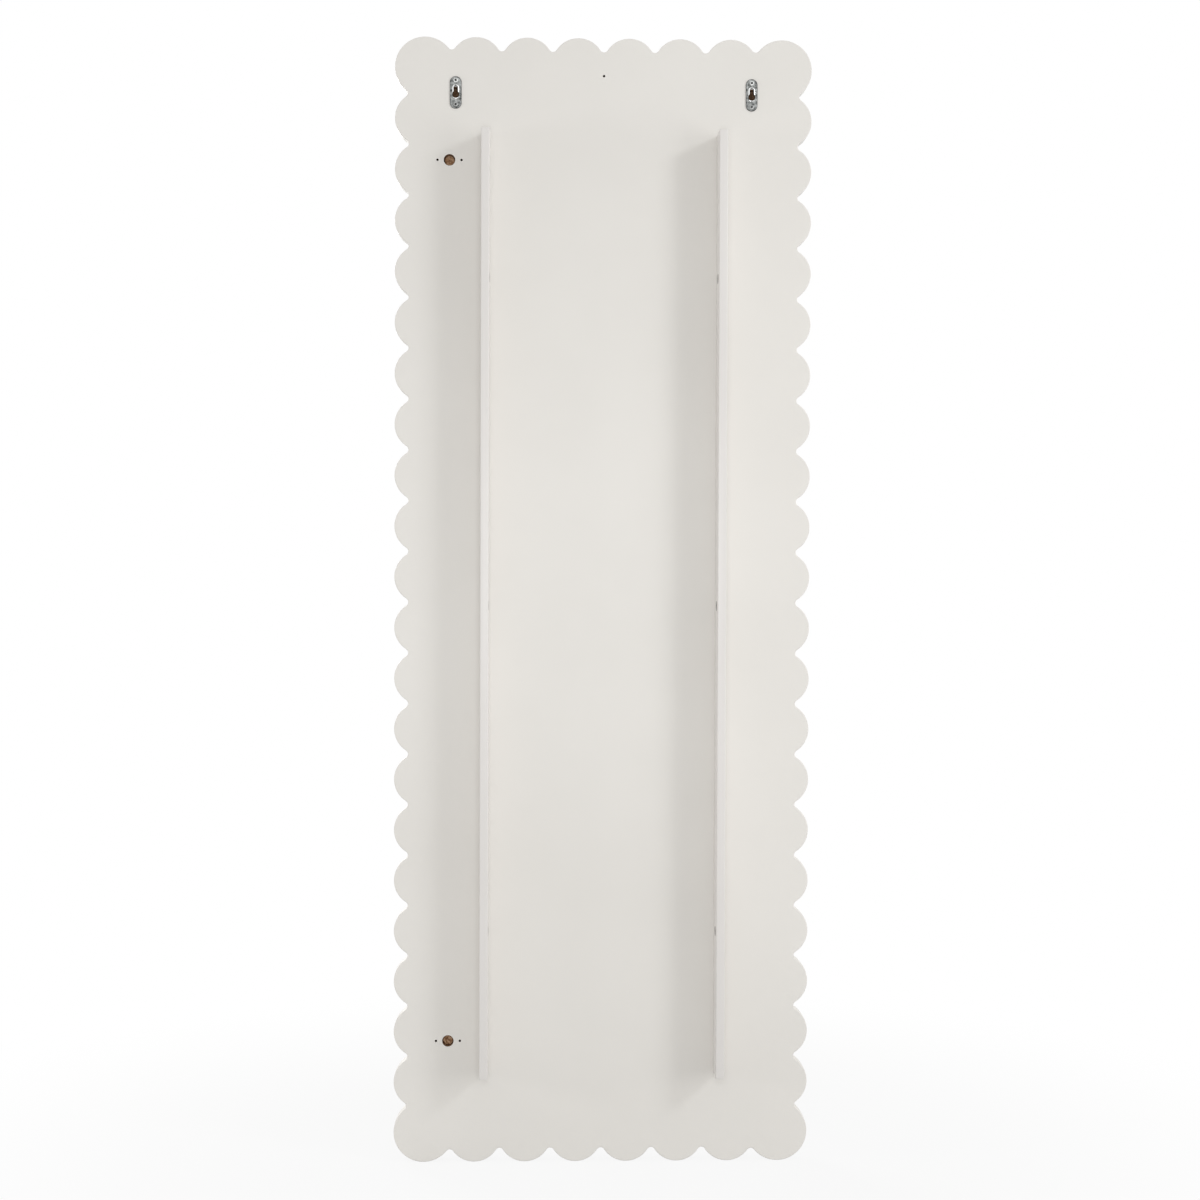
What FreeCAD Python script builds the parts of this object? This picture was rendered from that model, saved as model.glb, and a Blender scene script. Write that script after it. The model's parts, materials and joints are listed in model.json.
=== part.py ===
# Scalloped floor mirror: a scallop-edged board carries a framed mirror on its front
# and two stiffening battens and two keyhole hangers on its back.
# Millimetres. +Z is up, the glass faces -Y and the back faces +Y. The origin is on the
# floor, at the middle of the width and of the depth. Left is -X, as seen from the glass side.

import FreeCAD
import Part
import Sketcher
import os
import re
from FreeCAD import Placement, Rotation, Vector

# Driving sizes: alias, value, meaning.
SIZES = (
    ("overall_width", 610.0, "side to side, over the lobes"),
    ("overall_height", 1650.0, "floor to top, over the lobes"),
    ("corner_radius", 44.0, "round lobe at each corner"),
    ("lobe_pitch", 74.5, "wanted distance from one lobe to the next"),
    ("cusp_depth", 20.3, "how far a cusp lies inside the outer line"),
    ("cusp_fillet", 6.0, "cutter radius left in each cusp"),
    ("rear_round", 1.0, "rounding of the outer edge at the back"),
    ("front_round", 3.0, "rounding of the outer edge at the front"),
    ("panel_thickness", 15.0, "back panel"),
    ("panel_cover", 3.0, "wood left in front of a blind screw hole"),
    ("frame_thickness", 12.0, "front frame"),
    ("frame_width", 90.0, "outer line to the sight edge"),
    ("sight_bevel", 3.0, "bevel along the sight edge"),
    ("dowel_diameter", 6.0, "frame corner dowel"),
    ("dowel_length", 40.0, "frame corner dowel"),
    ("dowel_play", 0.15, "glue gap around a dowel"),
    ("glass_overlap", 8.0, "how far the frame covers the glass edge"),
    ("glass_play", 1.5, "gap around the glass in its rebate"),
    ("glass_thickness", 4.0, "mirror glass"),
    ("glass_arris", 0.8, "ground edge of the glass"),
    ("film_thickness", 0.2, "safety film behind the silvering"),
    ("film_inset", 2.0, "glass edge to film edge"),
    ("tape_thickness", 0.8, "foam mounting tape"),
    ("tape_width", 25.0, "foam mounting tape"),
    ("tape_inset", 50.0, "glass edge to the outer strips of tape"),
    ("tape_gap", 60.0, "between the ends of two strips of tape"),
    ("batten_thickness", 12.0, "stiffening batten"),
    ("batten_depth", 48.0, "how far a batten stands off the panel"),
    ("batten_bottom", 133.0, "floor to the lower end of a batten"),
    ("batten_drop", 141.0, "top line to the upper end of a batten"),
    ("batten_side", 133.0, "outer line to the middle of a batten"),
    ("batten_round", 1.0, "softened rear edges of a batten"),
    ("cam_diameter", 14.6, "cam disc"),
    ("cam_play", 0.2, "gap between a cam and its hole"),
    ("cam_back", 2.0, "batten left behind a cam hole"),
    ("cam_setback", 24.0, "panel face to the cam axis"),
    ("cam_end", 212.0, "end of a batten to its first cam"),
    ("cam_wall", 1.7, "rim of a cam around its hollow"),
    ("cam_core", 3.0, "post in the middle of a cam"),
    ("cam_turn", 180.0, "degrees from locked to released"),
    ("cam_cross_width", 1.4, "screwdriver cross in a cam"),
    ("cam_cross_length", 8.0, "screwdriver cross in a cam"),
    ("cam_cross_depth", 2.0, "screwdriver cross in a cam"),
    ("bolt_thread_diameter", 5.0, "cam bolt, in the panel"),
    ("bolt_shank_diameter", 6.0, "cam bolt, in the batten"),
    ("bolt_neck_diameter", 3.2, "cam bolt, behind its head"),
    ("bolt_head_diameter", 4.8, "cam bolt"),
    ("bolt_head_round", 1.0, "cam bolt, unless its head is shorter"),
    ("bolt_play", 0.3, "gap around a cam bolt"),
    ("hanger_width", 17.0, "keyhole plate"),
    ("hanger_thickness", 1.2, "keyhole plate"),
    ("hanger_side", 88.5, "outer line to the middle of a plate"),
    ("hanger_drop", 81.0, "top line to the middle of a plate"),
    ("boss_height", 1.0, "raised rim of a keyhole above its plate"),
    ("boss_margin", 2.2, "raised rim around a keyhole"),
    ("entry_diameter", 10.0, "round end of a keyhole"),
    ("entry_drop", 3.1, "middle of the plate down to the round end"),
    ("slot_width", 5.5, "narrow end of a keyhole"),
    ("slot_rise", 7.0, "middle of the plate up to the narrow end"),
    ("relief_diameter", 16.0, "hollow behind a keyhole"),
    ("relief_depth", 9.0, "hollow behind a keyhole"),
    ("screw_gap", 2.05, "raised rim of a keyhole to the head of a screw"),
    ("screw_end", 6.0, "middle of a screw to the end of its plate"),
    ("screw_head_diameter", 7.0, "pan head"),
    ("screw_head_height", 1.8, "pan head"),
    ("screw_head_round", 1.2, "pan head, unless it is lower"),
    ("screw_point", 3.0, "tapered end of a screw"),
    ("screw_cross_width", 1.0, "cross recess in a screw"),
    ("screw_cross_length", 3.8, "cross recess in a screw"),
    ("screw_cross_depth", 1.1, "cross recess in a screw"),
    ("pilot_diameter", 3.0, "screw hole in the panel"),
    ("pilot_play", 0.1, "gap around a screw in its hole"),
    ("plate_hole_play", 0.5, "gap around a screw in the plate"),
    ("landscape_side", 79.6, "right outer line to the landscape hollows"),
    ("landscape_end", 179.0, "top or bottom line to a landscape hollow"),
    ("anti_tip_drop", 55.0, "top line to the anti-tip screw hole"),
    ("cut_over", 1.0, "how far a cutting solid starts outside a face"),
)

TAPE_COLUMNS = 3
TAPE_ROWS = 4
CAMS_PER_BATTEN = 3

# Sizes worked out from the driving ones, as formulas of the sheet.
DERIVED = (
    ("end_lobes", "round((overall_width - 2 * corner_radius) / lobe_pitch) + 1"),
    ("side_lobes", "round((overall_height - 2 * corner_radius) / lobe_pitch) + 1"),
    ("end_pitch", "(overall_width - 2 * corner_radius) / (end_lobes - 1)"),
    ("side_pitch", "(overall_height - 2 * corner_radius) / (side_lobes - 1)"),
    ("end_radius", "(cusp_depth ^ 2 + end_pitch ^ 2 / 4) / (2 * cusp_depth) - cusp_fillet"),
    ("side_radius", "(cusp_depth ^ 2 + side_pitch ^ 2 / 4) / (2 * cusp_depth) - cusp_fillet"),
    ("board_thickness", "frame_thickness + panel_thickness"),
    ("front_y", "-(board_thickness + batten_depth) / 2"),
    ("joint_y", "front_y + frame_thickness"),
    ("rear_y", "front_y + board_thickness"),
    ("middle_z", "overall_height / 2"),
    ("sight_width", "overall_width - 2 * frame_width"),
    ("sight_height", "overall_height - 2 * frame_width"),
    ("glass_width", "sight_width + 2 * glass_overlap"),
    ("glass_height", "sight_height + 2 * glass_overlap"),
    ("rebate_depth", "glass_thickness + film_thickness + tape_thickness"),
    ("tape_length",
     f"(glass_height - 2 * tape_inset - {TAPE_ROWS - 1} * tape_gap) / {TAPE_ROWS}"),
    ("tape_column_spacing", f"(glass_width - 2 * tape_inset - tape_width) / {TAPE_COLUMNS - 1}"),
    ("rebate_edge", "glass_overlap + glass_play"),
    ("full_wood", "frame_width - cusp_depth - rebate_edge"),
    ("dowel_first", "rebate_edge + full_wood / 4"),
    ("dowel_spacing", "full_wood / 2"),
    ("pilot_depth", "panel_thickness - panel_cover"),
    ("batten_x", "overall_width / 2 - batten_side"),
    ("batten_face_x", "batten_x - batten_thickness / 2"),
    ("batten_length", "overall_height - batten_bottom - batten_drop"),
    ("cam_spacing", f"(batten_length - 2 * cam_end) / {CAMS_PER_BATTEN - 1}"),
    ("cam_height", "batten_thickness - cam_back - cam_play"),
    ("cam_middle_z", "batten_bottom + batten_length / 2"),
    ("hollow_radius", "cam_diameter / 2 - cam_wall"),
    ("hollow_height", "bolt_head_diameter + 2 * bolt_play"),
    ("neck_gap", "bolt_neck_diameter + 2 * bolt_play"),
    ("head_reach", "sqrt((hollow_radius - bolt_play) ^ 2 - (bolt_head_diameter / 2) ^ 2)"),
    ("head_start", "cam_setback - head_reach"),
    ("bolt_head_length", "head_reach - cam_core / 2 - 2 * bolt_play"),
    ("bolt_head_fillet", "min(bolt_head_round; bolt_head_length / 2)"),
    ("bolt_thread_length", "pilot_depth - pilot_play"),
    ("hanger_x", "overall_width / 2 - hanger_side"),
    ("hanger_z", "overall_height - hanger_drop"),
    ("screw_spacing",
     "2 * (slot_rise + slot_width / 2 + boss_margin + screw_gap) + screw_head_diameter"),
    ("hanger_length", "screw_spacing + 2 * screw_end"),
    ("screw_head_fillet", "min(screw_head_round; 2 / 3 * screw_head_height)"),
    ("landscape_x", "overall_width / 2 - landscape_side"),
)

SIDES = (("left", -1), ("right", 1))
ENDS = (("bottom", -1), ("top", 1))

# Part solids stand along +Z. These turn them along the depth or the width.
TO_FRONT = Rotation(Vector(1, 0, 0), 90)
TO_BACK = Rotation(Vector(1, 0, 0), -90)
TO_RIGHT = Rotation(Vector(0, 1, 0), 90)

# An edge counts as lying at a level when it is this close to it.
LEVEL_MARGIN = 0.01

doc = FreeCAD.newDocument("ScallopedMirror")
sheet = doc.addObject("Spreadsheet::Sheet", "Sizes")
nodes = []


def fill_sheet():
    """Write the driving sizes, then the formulas, each under its own alias."""
    rows = [(name, str(number), note) for name, number, note in SIZES]
    rows += [(name, "=" + formula, "worked out") for name, formula in DERIVED]
    for row, (name, content, note) in enumerate(rows, 1):
        sheet.set(f"A{row}", name)
        sheet.set(f"B{row}", content)
        sheet.set(f"C{row}", note)
        sheet.setAlias(f"B{row}", name)
    doc.recompute()


def tied(formula):
    """A formula of sizes, with each size named as a cell of the sheet."""
    return re.sub(r"\b[a-z]+_\w+", lambda word: "Sizes." + word.group(), formula)


def value(formula):
    """The number that a formula of sizes gives now."""
    return float(sheet.evalExpression(tied(formula)))


def bind(item, **formulas):
    """Bind properties of a document object to formulas of sizes."""
    for name, formula in formulas.items():
        item.setExpression(name, tied(formula))


def place(item, x="0", y="0", z="0", turn=Rotation()):
    """Place an object by formulas of sizes, turned by a fixed rotation."""
    item.Placement = Placement(Vector(), turn)
    for axis, formula in zip("xyz", (x, y, z)):
        item.setExpression("Placement.Base." + axis, tied(formula))
    return item


def node(item, name):
    """Keep an object as one sub-part under its own label."""
    item.Label = name
    nodes.append(item)
    return item


def box(name, x, y, z, length, width, height):
    """A block with its lowest corner at x, y, z."""
    item = doc.addObject("Part::Box", name)
    bind(item, Length=length, Width=width, Height=height)
    return place(item, x, y, z)


def rod(name, x, y, z, diameter, length, turn):
    """A round rod from x, y, z, turned along one of the axes."""
    item = doc.addObject("Part::Cylinder", name)
    bind(item, Radius=f"({diameter}) / 2", Height=length)
    return place(item, x, y, z, turn)


def boolean(kind, name, base, tool):
    """Cut, Fuse or Common of two objects."""
    item = doc.addObject("Part::" + kind, name)
    item.Base = base
    item.Tool = tool
    return item


def group(name, members):
    """Several separate solids as one object."""
    item = doc.addObject("Part::Compound", name)
    item.Links = members
    return item


def new_body(name):
    """An empty body."""
    return doc.addObject("PartDesign::Body", name)


def sketch(body, name, role, offset="0"):
    """A sketch on one of a body's own planes, or a distance in front of it."""
    item = body.newObject("Sketcher::SketchObject", f"{body.Name}_{name}")
    plane = next(part for part in body.Origin.OriginFeatures if part.Role == role)
    item.AttachmentSupport = (plane, [""])
    item.MapMode = "FlatFace"
    item.setExpression("AttachmentOffset.Base.z", tied(offset))
    return item


def pin_point(item, geometry, point, x, y):
    """Fix one point of a sketch at formulas of sizes, measured from its origin."""
    for kind, formula, axis in (("DistanceX", x, -2), ("DistanceY", y, -1)):
        if formula == "0":
            item.addConstraint(Sketcher.Constraint("PointOnObject", geometry, point, axis))
        else:
            rule = Sketcher.Constraint(kind, -1, 1, geometry, point, value(formula))
            index = item.addConstraint(rule)
            item.setExpression(f"Constraints[{index}]", tied(formula))


def draw_circle(item, x, y, diameter):
    """A circle at x, y in a sketch."""
    shape = Part.Circle(Vector(value(x), value(y)), Vector(0, 0, 1), value(diameter) / 2)
    geometry = item.addGeometry(shape, False)
    pin_point(item, geometry, 3, x, y)
    index = item.addConstraint(Sketcher.Constraint("Diameter", geometry, value(diameter)))
    item.setExpression(f"Constraints[{index}]", tied(diameter))


def draw_outline(item, corners):
    """A closed outline of straight lines through corners given as formulas."""
    points = [Vector(value(x), value(y)) for x, y in corners]
    count = len(points)
    lines = []
    for index in range(count):
        segment = Part.LineSegment(points[index], points[(index + 1) % count])
        lines.append(item.addGeometry(segment, False))
    for index in range(count):
        joined = lines[(index + 1) % count]
        item.addConstraint(Sketcher.Constraint("Coincident", lines[index], 2, joined, 1))
    for line, (x, y) in zip(lines, corners):
        pin_point(item, line, 1, x, y)


def draw_rectangle(item, x0, y0, x1, y1):
    """A rectangle between two corners in a sketch."""
    draw_outline(item, ((x0, y0), (x1, y0), (x1, y1), (x0, y1)))


def pad(body, profile, length):
    """Extrude a sketch along its normal."""
    item = body.newObject("PartDesign::Pad", profile.Name + "_pad")
    item.Profile = profile
    bind(item, Length=length)
    return item


def pocket(body, profile, length, along_normal):
    """Cut a sketch into a body, along or against its normal, and see that it cuts."""
    doc.recompute()
    before = body.Shape.Volume
    item = body.newObject("PartDesign::Pocket", profile.Name + "_pocket")
    item.Profile = profile
    item.Reversed = along_normal
    bind(item, Length=length)
    doc.recompute()
    if body.Shape.Volume >= before:
        raise ValueError(f"{item.Name} cuts nothing")
    return item


def turned(body, kind, profile, angle):
    """Revolution or Groove of a sketch about its upright axis, the same to both sides."""
    item = body.newObject("PartDesign::" + kind, f"{profile.Name}_{kind.lower()}")
    item.Profile = profile
    item.ReferenceAxis = (profile, ["V_Axis"])
    item.Midplane = True
    bind(item, Angle=angle)
    return item


def row(body, feature, profile, axis, length, copies):
    """Repeat a feature along one axis of its sketch."""
    doc.recompute()
    item = body.newObject("PartDesign::LinearPattern", profile.Name + "_row")
    item.Originals = [feature]
    item.Direction = (profile, [axis])
    item.Refine = True
    bind(item, Length=length, Occurrences=copies)
    body.Tip = item
    return item


def soften(body, kind, name, wanted, **sizes):
    """Fillet or Chamfer of those edges of a body that the test picks."""
    doc.recompute()
    base = body.Tip
    edges = [f"Edge{i}" for i, edge in enumerate(base.Shape.Edges, 1) if wanted(edge)]
    item = body.newObject("PartDesign::" + kind, f"{body.Name}_{name}")
    item.Base = (base, edges)
    bind(item, **sizes)
    doc.recompute()
    return item


def runs_along(edge, axis):
    """True for a straight edge along a unit vector."""
    straight = edge.Curve.TypeId == "Part::GeomLine"
    return straight and abs(edge.tangentAt(edge.FirstParameter).dot(axis)) > 0.999


def lies_on(edge, axis, level):
    """True for an edge that lies in the plane where an axis has one value."""
    limits = edge.BoundBox
    low, high = getattr(limits, axis + "Min"), getattr(limits, axis + "Max")
    return abs(low - level) < LEVEL_MARGIN and abs(high - level) < LEVEL_MARGIN


def make_board():
    """The scalloped outline through the whole thickness of frame and panel."""
    body = new_body("scalloped_board")
    core_x = "overall_width / 2 - side_radius"
    corner_x = "overall_width / 2 - corner_radius"

    core = sketch(body, "core", "XZ_Plane")
    draw_rectangle(core, f"-({core_x})", "end_radius", core_x, "overall_height - end_radius")
    pad(body, core, "board_thickness")

    corners = sketch(body, "corners", "XZ_Plane")
    sides = sketch(body, "sides", "XZ_Plane")
    for _, sign in SIDES:
        for z in ("corner_radius", "overall_height - corner_radius"):
            draw_circle(corners, f"{sign} * ({corner_x})", z, "2 * corner_radius")
        first_z = "corner_radius + side_pitch"
        draw_circle(sides, f"{sign} * ({core_x})", first_z, "2 * side_radius")
    pad(body, corners, "board_thickness")
    lobe = pad(body, sides, "board_thickness")
    row(body, lobe, sides, "V_Axis", "(side_lobes - 3) * side_pitch", "side_lobes - 2")

    ends = sketch(body, "ends", "XZ_Plane")
    for z in ("end_radius", "overall_height - end_radius"):
        draw_circle(ends, f"end_pitch - ({corner_x})", z, "2 * end_radius")
    lobe = pad(body, ends, "board_thickness")
    row(body, lobe, ends, "H_Axis", "(end_lobes - 3) * end_pitch", "end_lobes - 2")

    depth = Vector(0, 1, 0)
    front = -value("board_thickness")
    soften(body, "Fillet", "cusps", lambda edge: runs_along(edge, depth), Radius="cusp_fillet")
    soften(body, "Fillet", "rear", lambda edge: lies_on(edge, "Y", 0), Radius="rear_round")
    soften(body, "Fillet", "front", lambda edge: lies_on(edge, "Y", front), Radius="front_round")
    return place(body, y="rear_y")


def across(name, y, width):
    """A block that covers the whole board over part of its depth."""
    return box(name, "-overall_width / 2 - cut_over", y, "-cut_over",
               "overall_width + 2 * cut_over", width, "overall_height + 2 * cut_over")


def drilling(name, x, z, diameter, depth):
    """A drill into the panel from its back."""
    return rod(name, x, "rear_y + cut_over", z, diameter, f"{depth} + cut_over", TO_FRONT)


def hanger_drillings(name, x, z, upright):
    """The hollow and the two screw holes for one keyhole plate."""
    half = "screw_spacing / 2"
    drills = [drilling(f"{name}_relief", x, z, "relief_diameter", "relief_depth")]
    for sign in "-+":
        hole_x = x if upright else f"{x} {sign} {half}"
        hole_z = f"{z} {sign} {half}" if upright else z
        label = f"{name}_pilot_{len(drills)}"
        drills.append(drilling(label, hole_x, hole_z, "pilot_diameter", "pilot_depth"))
    return drills


def cam_heights():
    """Height of each cam above the floor, from the lowest up."""
    middle = (CAMS_PER_BATTEN - 1) / 2
    return [f"cam_middle_z + {i - middle} * cam_spacing" for i in range(CAMS_PER_BATTEN)]


def make_panel(board):
    """The back panel with every hole that is drilled from behind."""
    drills = []
    for side, sign in SIDES:
        x = f"{sign} * hanger_x"
        drills += hanger_drillings(f"portrait_{side}", x, "hanger_z", True)
        for index, z in enumerate(cam_heights()):
            x = f"{sign} * batten_x"
            diameter = "bolt_thread_diameter + 2 * pilot_play"
            drills.append(drilling(f"bolt_hole_{side}_{index}", x, z, diameter, "pilot_depth"))
    for end, sign in ENDS:
        z = f"middle_z + {sign} * (middle_z - landscape_end)"
        drills += hanger_drillings(f"landscape_{end}", "landscape_x", z, False)
    tip_z = "overall_height - anti_tip_drop"
    drills.append(drilling("anti_tip_hole", "0", tip_z, "pilot_diameter", "pilot_depth"))

    slab = across("panel_slab", "joint_y", "panel_thickness + cut_over")
    blank = boolean("Common", "panel_blank", board, slab)
    panel = boolean("Cut", "back_panel", blank, group("panel_drillings", drills))
    node(panel, "back_panel")


def make_frame(board):
    """Two full-height stiles and two rails between them, dowelled at the corners."""
    slab = across("frame_slab", "front_y - cut_over", "frame_thickness + cut_over")
    blank = boolean("Common", "frame_blank", board, slab)
    sight = box("sight_opening", "-sight_width / 2", "front_y - cut_over", "frame_width",
                "sight_width", "board_thickness", "sight_height")
    rebate = box("glass_rebate", "-(glass_width / 2 + glass_play)", "joint_y - rebate_depth",
                 "frame_width - glass_overlap - glass_play", "glass_width + 2 * glass_play",
                 "rebate_depth + cut_over", "glass_height + 2 * glass_play")
    bevel = doc.addObject("Part::Wedge", "sight_bevel_cut")
    reach = "(sight_bevel + cut_over)"
    bind(bevel, Xmin=f"-sight_width / 2 - {reach}", Xmax=f"sight_width / 2 + {reach}",
         Zmin=f"-sight_height / 2 - {reach}", Zmax=f"sight_height / 2 + {reach}",
         X2min="-sight_width / 2", X2max="sight_width / 2",
         Z2min="-sight_height / 2", Z2max="sight_height / 2",
         Ymin="-cut_over", Ymax="sight_bevel")
    place(bevel, y="front_y", z="middle_z")
    window = boolean("Fuse", "window", boolean("Fuse", "stepped_window", sight, rebate), bevel)
    ring = boolean("Cut", "frame_ring", blank, window)

    holes = {}
    for end, z_sign in ENDS:
        for side, x_sign in SIDES:
            holes[end, side] = make_corner_dowels(end, side, z_sign, x_sign)

    height = "overall_height + 2 * cut_over"
    for side, sign in SIDES:
        width = "frame_width + cut_over"
        x = "sight_width / 2" if sign > 0 else f"-sight_width / 2 - ({width})"
        stock = box(f"stile_stock_{side}", x, "front_y - cut_over", "-cut_over",
                    width, "frame_thickness + 2 * cut_over", height)
        stile = boolean("Common", f"stile_blank_{side}", ring, stock)
        drills = group(f"stile_holes_{side}", [holes[end, side] for end, _ in ENDS])
        node(boolean("Cut", f"frame_stile_{side}", stile, drills), f"frame_stile_{side}")
    for end, sign in ENDS:
        z = "middle_z" if sign > 0 else "-cut_over"
        stock = box(f"rail_stock_{end}", "-sight_width / 2", "front_y - cut_over", z,
                    "sight_width", "frame_thickness + 2 * cut_over", "middle_z + cut_over")
        rail = boolean("Common", f"rail_blank_{end}", ring, stock)
        drills = group(f"rail_holes_{end}", [holes[end, side] for side, _ in SIDES])
        node(boolean("Cut", f"frame_rail_{end}", rail, drills), f"frame_rail_{end}")


def make_corner_dowels(end, side, z_sign, x_sign):
    """The two dowels of one frame corner. Returns the holes that take them."""
    dowels, holes = [], []
    for index in range(2):
        out = f"sight_height / 2 + dowel_first + {index} * dowel_spacing"
        z = f"middle_z + {z_sign} * ({out})"
        y = "front_y + frame_thickness / 2"
        name = f"{end}_{side}_{index}"
        joint = f"{x_sign} * sight_width / 2"
        dowels.append(rod(f"dowel_{name}", f"{joint} - dowel_length / 2", y, z,
                          "dowel_diameter", "dowel_length", TO_RIGHT))
        start = f"{joint} - dowel_length / 2 - dowel_play"
        holes.append(rod(f"dowel_hole_{name}", start, y, z, "dowel_diameter + 2 * dowel_play",
                         "dowel_length + 2 * dowel_play", TO_RIGHT))
    node(group(f"corner_dowels_{end}_{side}", dowels), f"corner_dowels_{end}_{side}")
    return group(f"dowel_holes_{end}_{side}", holes)


def make_mirror():
    """The glass, the safety film on its silvered back and the tape that holds it."""
    glass = new_body("mirror_glass")
    face = sketch(glass, "face", "XZ_Plane")
    draw_rectangle(face, "-glass_width / 2", "-glass_height / 2",
                   "glass_width / 2", "glass_height / 2")
    pad(glass, face, "glass_thickness")
    soften(glass, "Chamfer", "arris", lambda edge: True, Size="glass_arris")
    place(glass, y="joint_y - film_thickness - tape_thickness", z="middle_z")
    node(glass, "mirror_glass")

    film = box("safety_film", "film_inset - glass_width / 2",
               "joint_y - tape_thickness - film_thickness",
               "middle_z + film_inset - glass_height / 2", "glass_width - 2 * film_inset",
               "film_thickness", "glass_height - 2 * film_inset")
    node(film, "mirror_safety_film")

    strips = []
    for column in range(TAPE_COLUMNS):
        for line in range(TAPE_ROWS):
            x = f"{column - (TAPE_COLUMNS - 1) / 2} * tape_column_spacing - tape_width / 2"
            place_z = f"{line - (TAPE_ROWS - 1) / 2} * (tape_length + tape_gap)"
            z = f"middle_z + {place_z} - tape_length / 2"
            strips.append(box(f"tape_{column}_{line}", x, "joint_y - tape_thickness", z,
                              "tape_width", "tape_thickness", "tape_length"))
    node(group("tape_strips", strips), "mirror_tape_strips")


def make_batten(side, sign):
    """A batten on edge, with its cam holes in the face that looks at the other batten.

    Its own frame has x = 0 on that face, y = 0 on the panel and z = 0 at mid length.
    """
    body = new_body(f"batten_{side}")
    section = sketch(body, "section", "XY_Plane", "-batten_length / 2")
    draw_rectangle(section, "-batten_thickness", "0", "0", "batten_depth")
    pad(body, section, "batten_length")
    depth = value("batten_depth")
    soften(body, "Fillet", "edges", lambda edge: lies_on(edge, "Y", depth), Radius="batten_round")

    middle = (CAMS_PER_BATTEN - 1) / 2
    cams = sketch(body, "cams", "YZ_Plane")
    bolts = sketch(body, "bolts", "XZ_Plane")
    for index in range(CAMS_PER_BATTEN):
        z = f"{index - middle} * cam_spacing" if index != middle else "0"
        draw_circle(cams, "cam_setback", z, "cam_diameter + 2 * cam_play")
        draw_circle(bolts, "-batten_thickness / 2", z, "bolt_shank_diameter + 2 * bolt_play")
    pocket(body, cams, "batten_thickness - cam_back", False)
    pocket(body, bolts, "cam_setback", False)

    turn = Rotation(Vector(0, 1, 0), 0 if sign < 0 else 180)
    place(body, f"{sign} * batten_face_x", "rear_y", "cam_middle_z", turn)
    node(body, f"batten_{side}")


def make_cam_form():
    """A cam disc about its own z axis, with its driven face at z = 0.

    The bolt's head rides in the ring-shaped hollow and its neck in the slot of the rim.
    At rest the bolt lies along -x. Half a turn brings the entry hole on +x to it.
    """
    body = new_body("cam_form")
    bolt_z = "-batten_thickness / 2"
    disc = sketch(body, "disc", "XY_Plane", "-cam_height")
    draw_circle(disc, "0", "0", "cam_diameter")
    pad(body, disc, "cam_height")

    hollow = sketch(body, "hollow", "YZ_Plane")
    draw_rectangle(hollow, "cam_core / 2", f"{bolt_z} - hollow_height / 2",
                   "hollow_radius", f"{bolt_z} + hollow_height / 2")
    turned(body, "Groove", hollow, "360")

    slot = sketch(body, "slot", "YZ_Plane")
    draw_rectangle(slot, "hollow_radius - cut_over / 2", f"{bolt_z} - neck_gap / 2",
                   "cam_diameter / 2 + cut_over", f"{bolt_z} + neck_gap / 2")
    turned(body, "Groove", slot, "cam_turn + 2 * asin(neck_gap / 2 / hollow_radius) / 1 deg")

    entry = sketch(body, "entry", "YZ_Plane", "cam_core / 2 + bolt_play")
    draw_circle(entry, "0", bolt_z, "bolt_head_diameter + bolt_play")
    pocket(body, entry, "cam_diameter / 2", True)
    cut_cross(body, "cam")
    return body


def cut_cross(body, size):
    """A cross recess for a screwdriver in the top face at z = 0."""
    width, length = f"{size}_cross_width / 2", f"{size}_cross_length / 2"
    for name, half_x, half_y in (("slot_one", width, length), ("slot_two", length, width)):
        arm = sketch(body, name, "XY_Plane")
        draw_rectangle(arm, f"-{half_x}", f"-{half_y}", half_x, half_y)
        pocket(body, arm, f"{size}_cross_depth", False)


def make_bolt_form():
    """A cam bolt along its own z axis, with z = 0 on the panel's face."""
    body = new_body("bolt_form")
    shank_end = "cam_setback - cam_diameter / 2 - bolt_play"
    head_end = "head_start + bolt_head_length"
    thread = "bolt_thread_diameter / 2"
    shank = "bolt_shank_diameter / 2"
    neck = "bolt_neck_diameter / 2"
    head = "bolt_head_diameter / 2"
    profile = sketch(body, "profile", "XZ_Plane")
    draw_outline(profile, (
        ("0", "-bolt_thread_length"), (thread, "-bolt_thread_length"), (thread, "0"),
        (shank, "0"), (shank, shank_end), (neck, shank_end), (neck, "head_start"),
        (head, "head_start"), (head, head_end), ("0", head_end)))
    turned(body, "Revolution", profile, "360")
    top = value(head_end)
    soften(body, "Fillet", "head", lambda edge: lies_on(edge, "Z", top), Radius="bolt_head_fillet")
    return body


def make_cam_joints(side, sign):
    """Cams and cam bolts of one batten, copied from one form of each."""
    cam_turn = Rotation(Vector(0, 1, 0), Vector(0, 0, 1), Vector(-sign, 0, 0), "ZXY")
    bolts = []
    for index, z in enumerate(cam_heights()):
        level = ("lower", "middle", "upper")[index]
        cam = group(f"cam_{side}_{level}", [cam_form])
        place(cam, f"{sign} * batten_face_x", "rear_y + cam_setback", z, cam_turn)
        node(cam, f"cam_{side}_{level}")
        bolt = group(f"cam_bolt_{side}_{level}", [bolt_form])
        bolts.append(place(bolt, f"{sign} * batten_x", "rear_y", z, TO_BACK))
    node(group(f"cam_bolts_{side}", bolts), f"cam_bolts_{side}")


def keyhole(name, margin, low, height):
    """A keyhole-shaped solid, wider than the hole by a margin, along the depth."""
    entry = rod(f"{name}_entry", "0", low, "-entry_drop",
                f"entry_diameter + 2 * ({margin})", height, TO_BACK)
    slot_end = rod(f"{name}_slot_end", "0", low, "slot_rise",
                   f"slot_width + 2 * ({margin})", height, TO_BACK)
    half = f"(slot_width / 2 + {margin})"
    slot = box(f"{name}_slot", f"-{half}", low, "-entry_drop", f"2 * {half}", height,
               "entry_drop + slot_rise")
    item = doc.addObject("Part::MultiFuse", name)
    item.Shapes = [entry, slot_end, slot]
    return item


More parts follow.
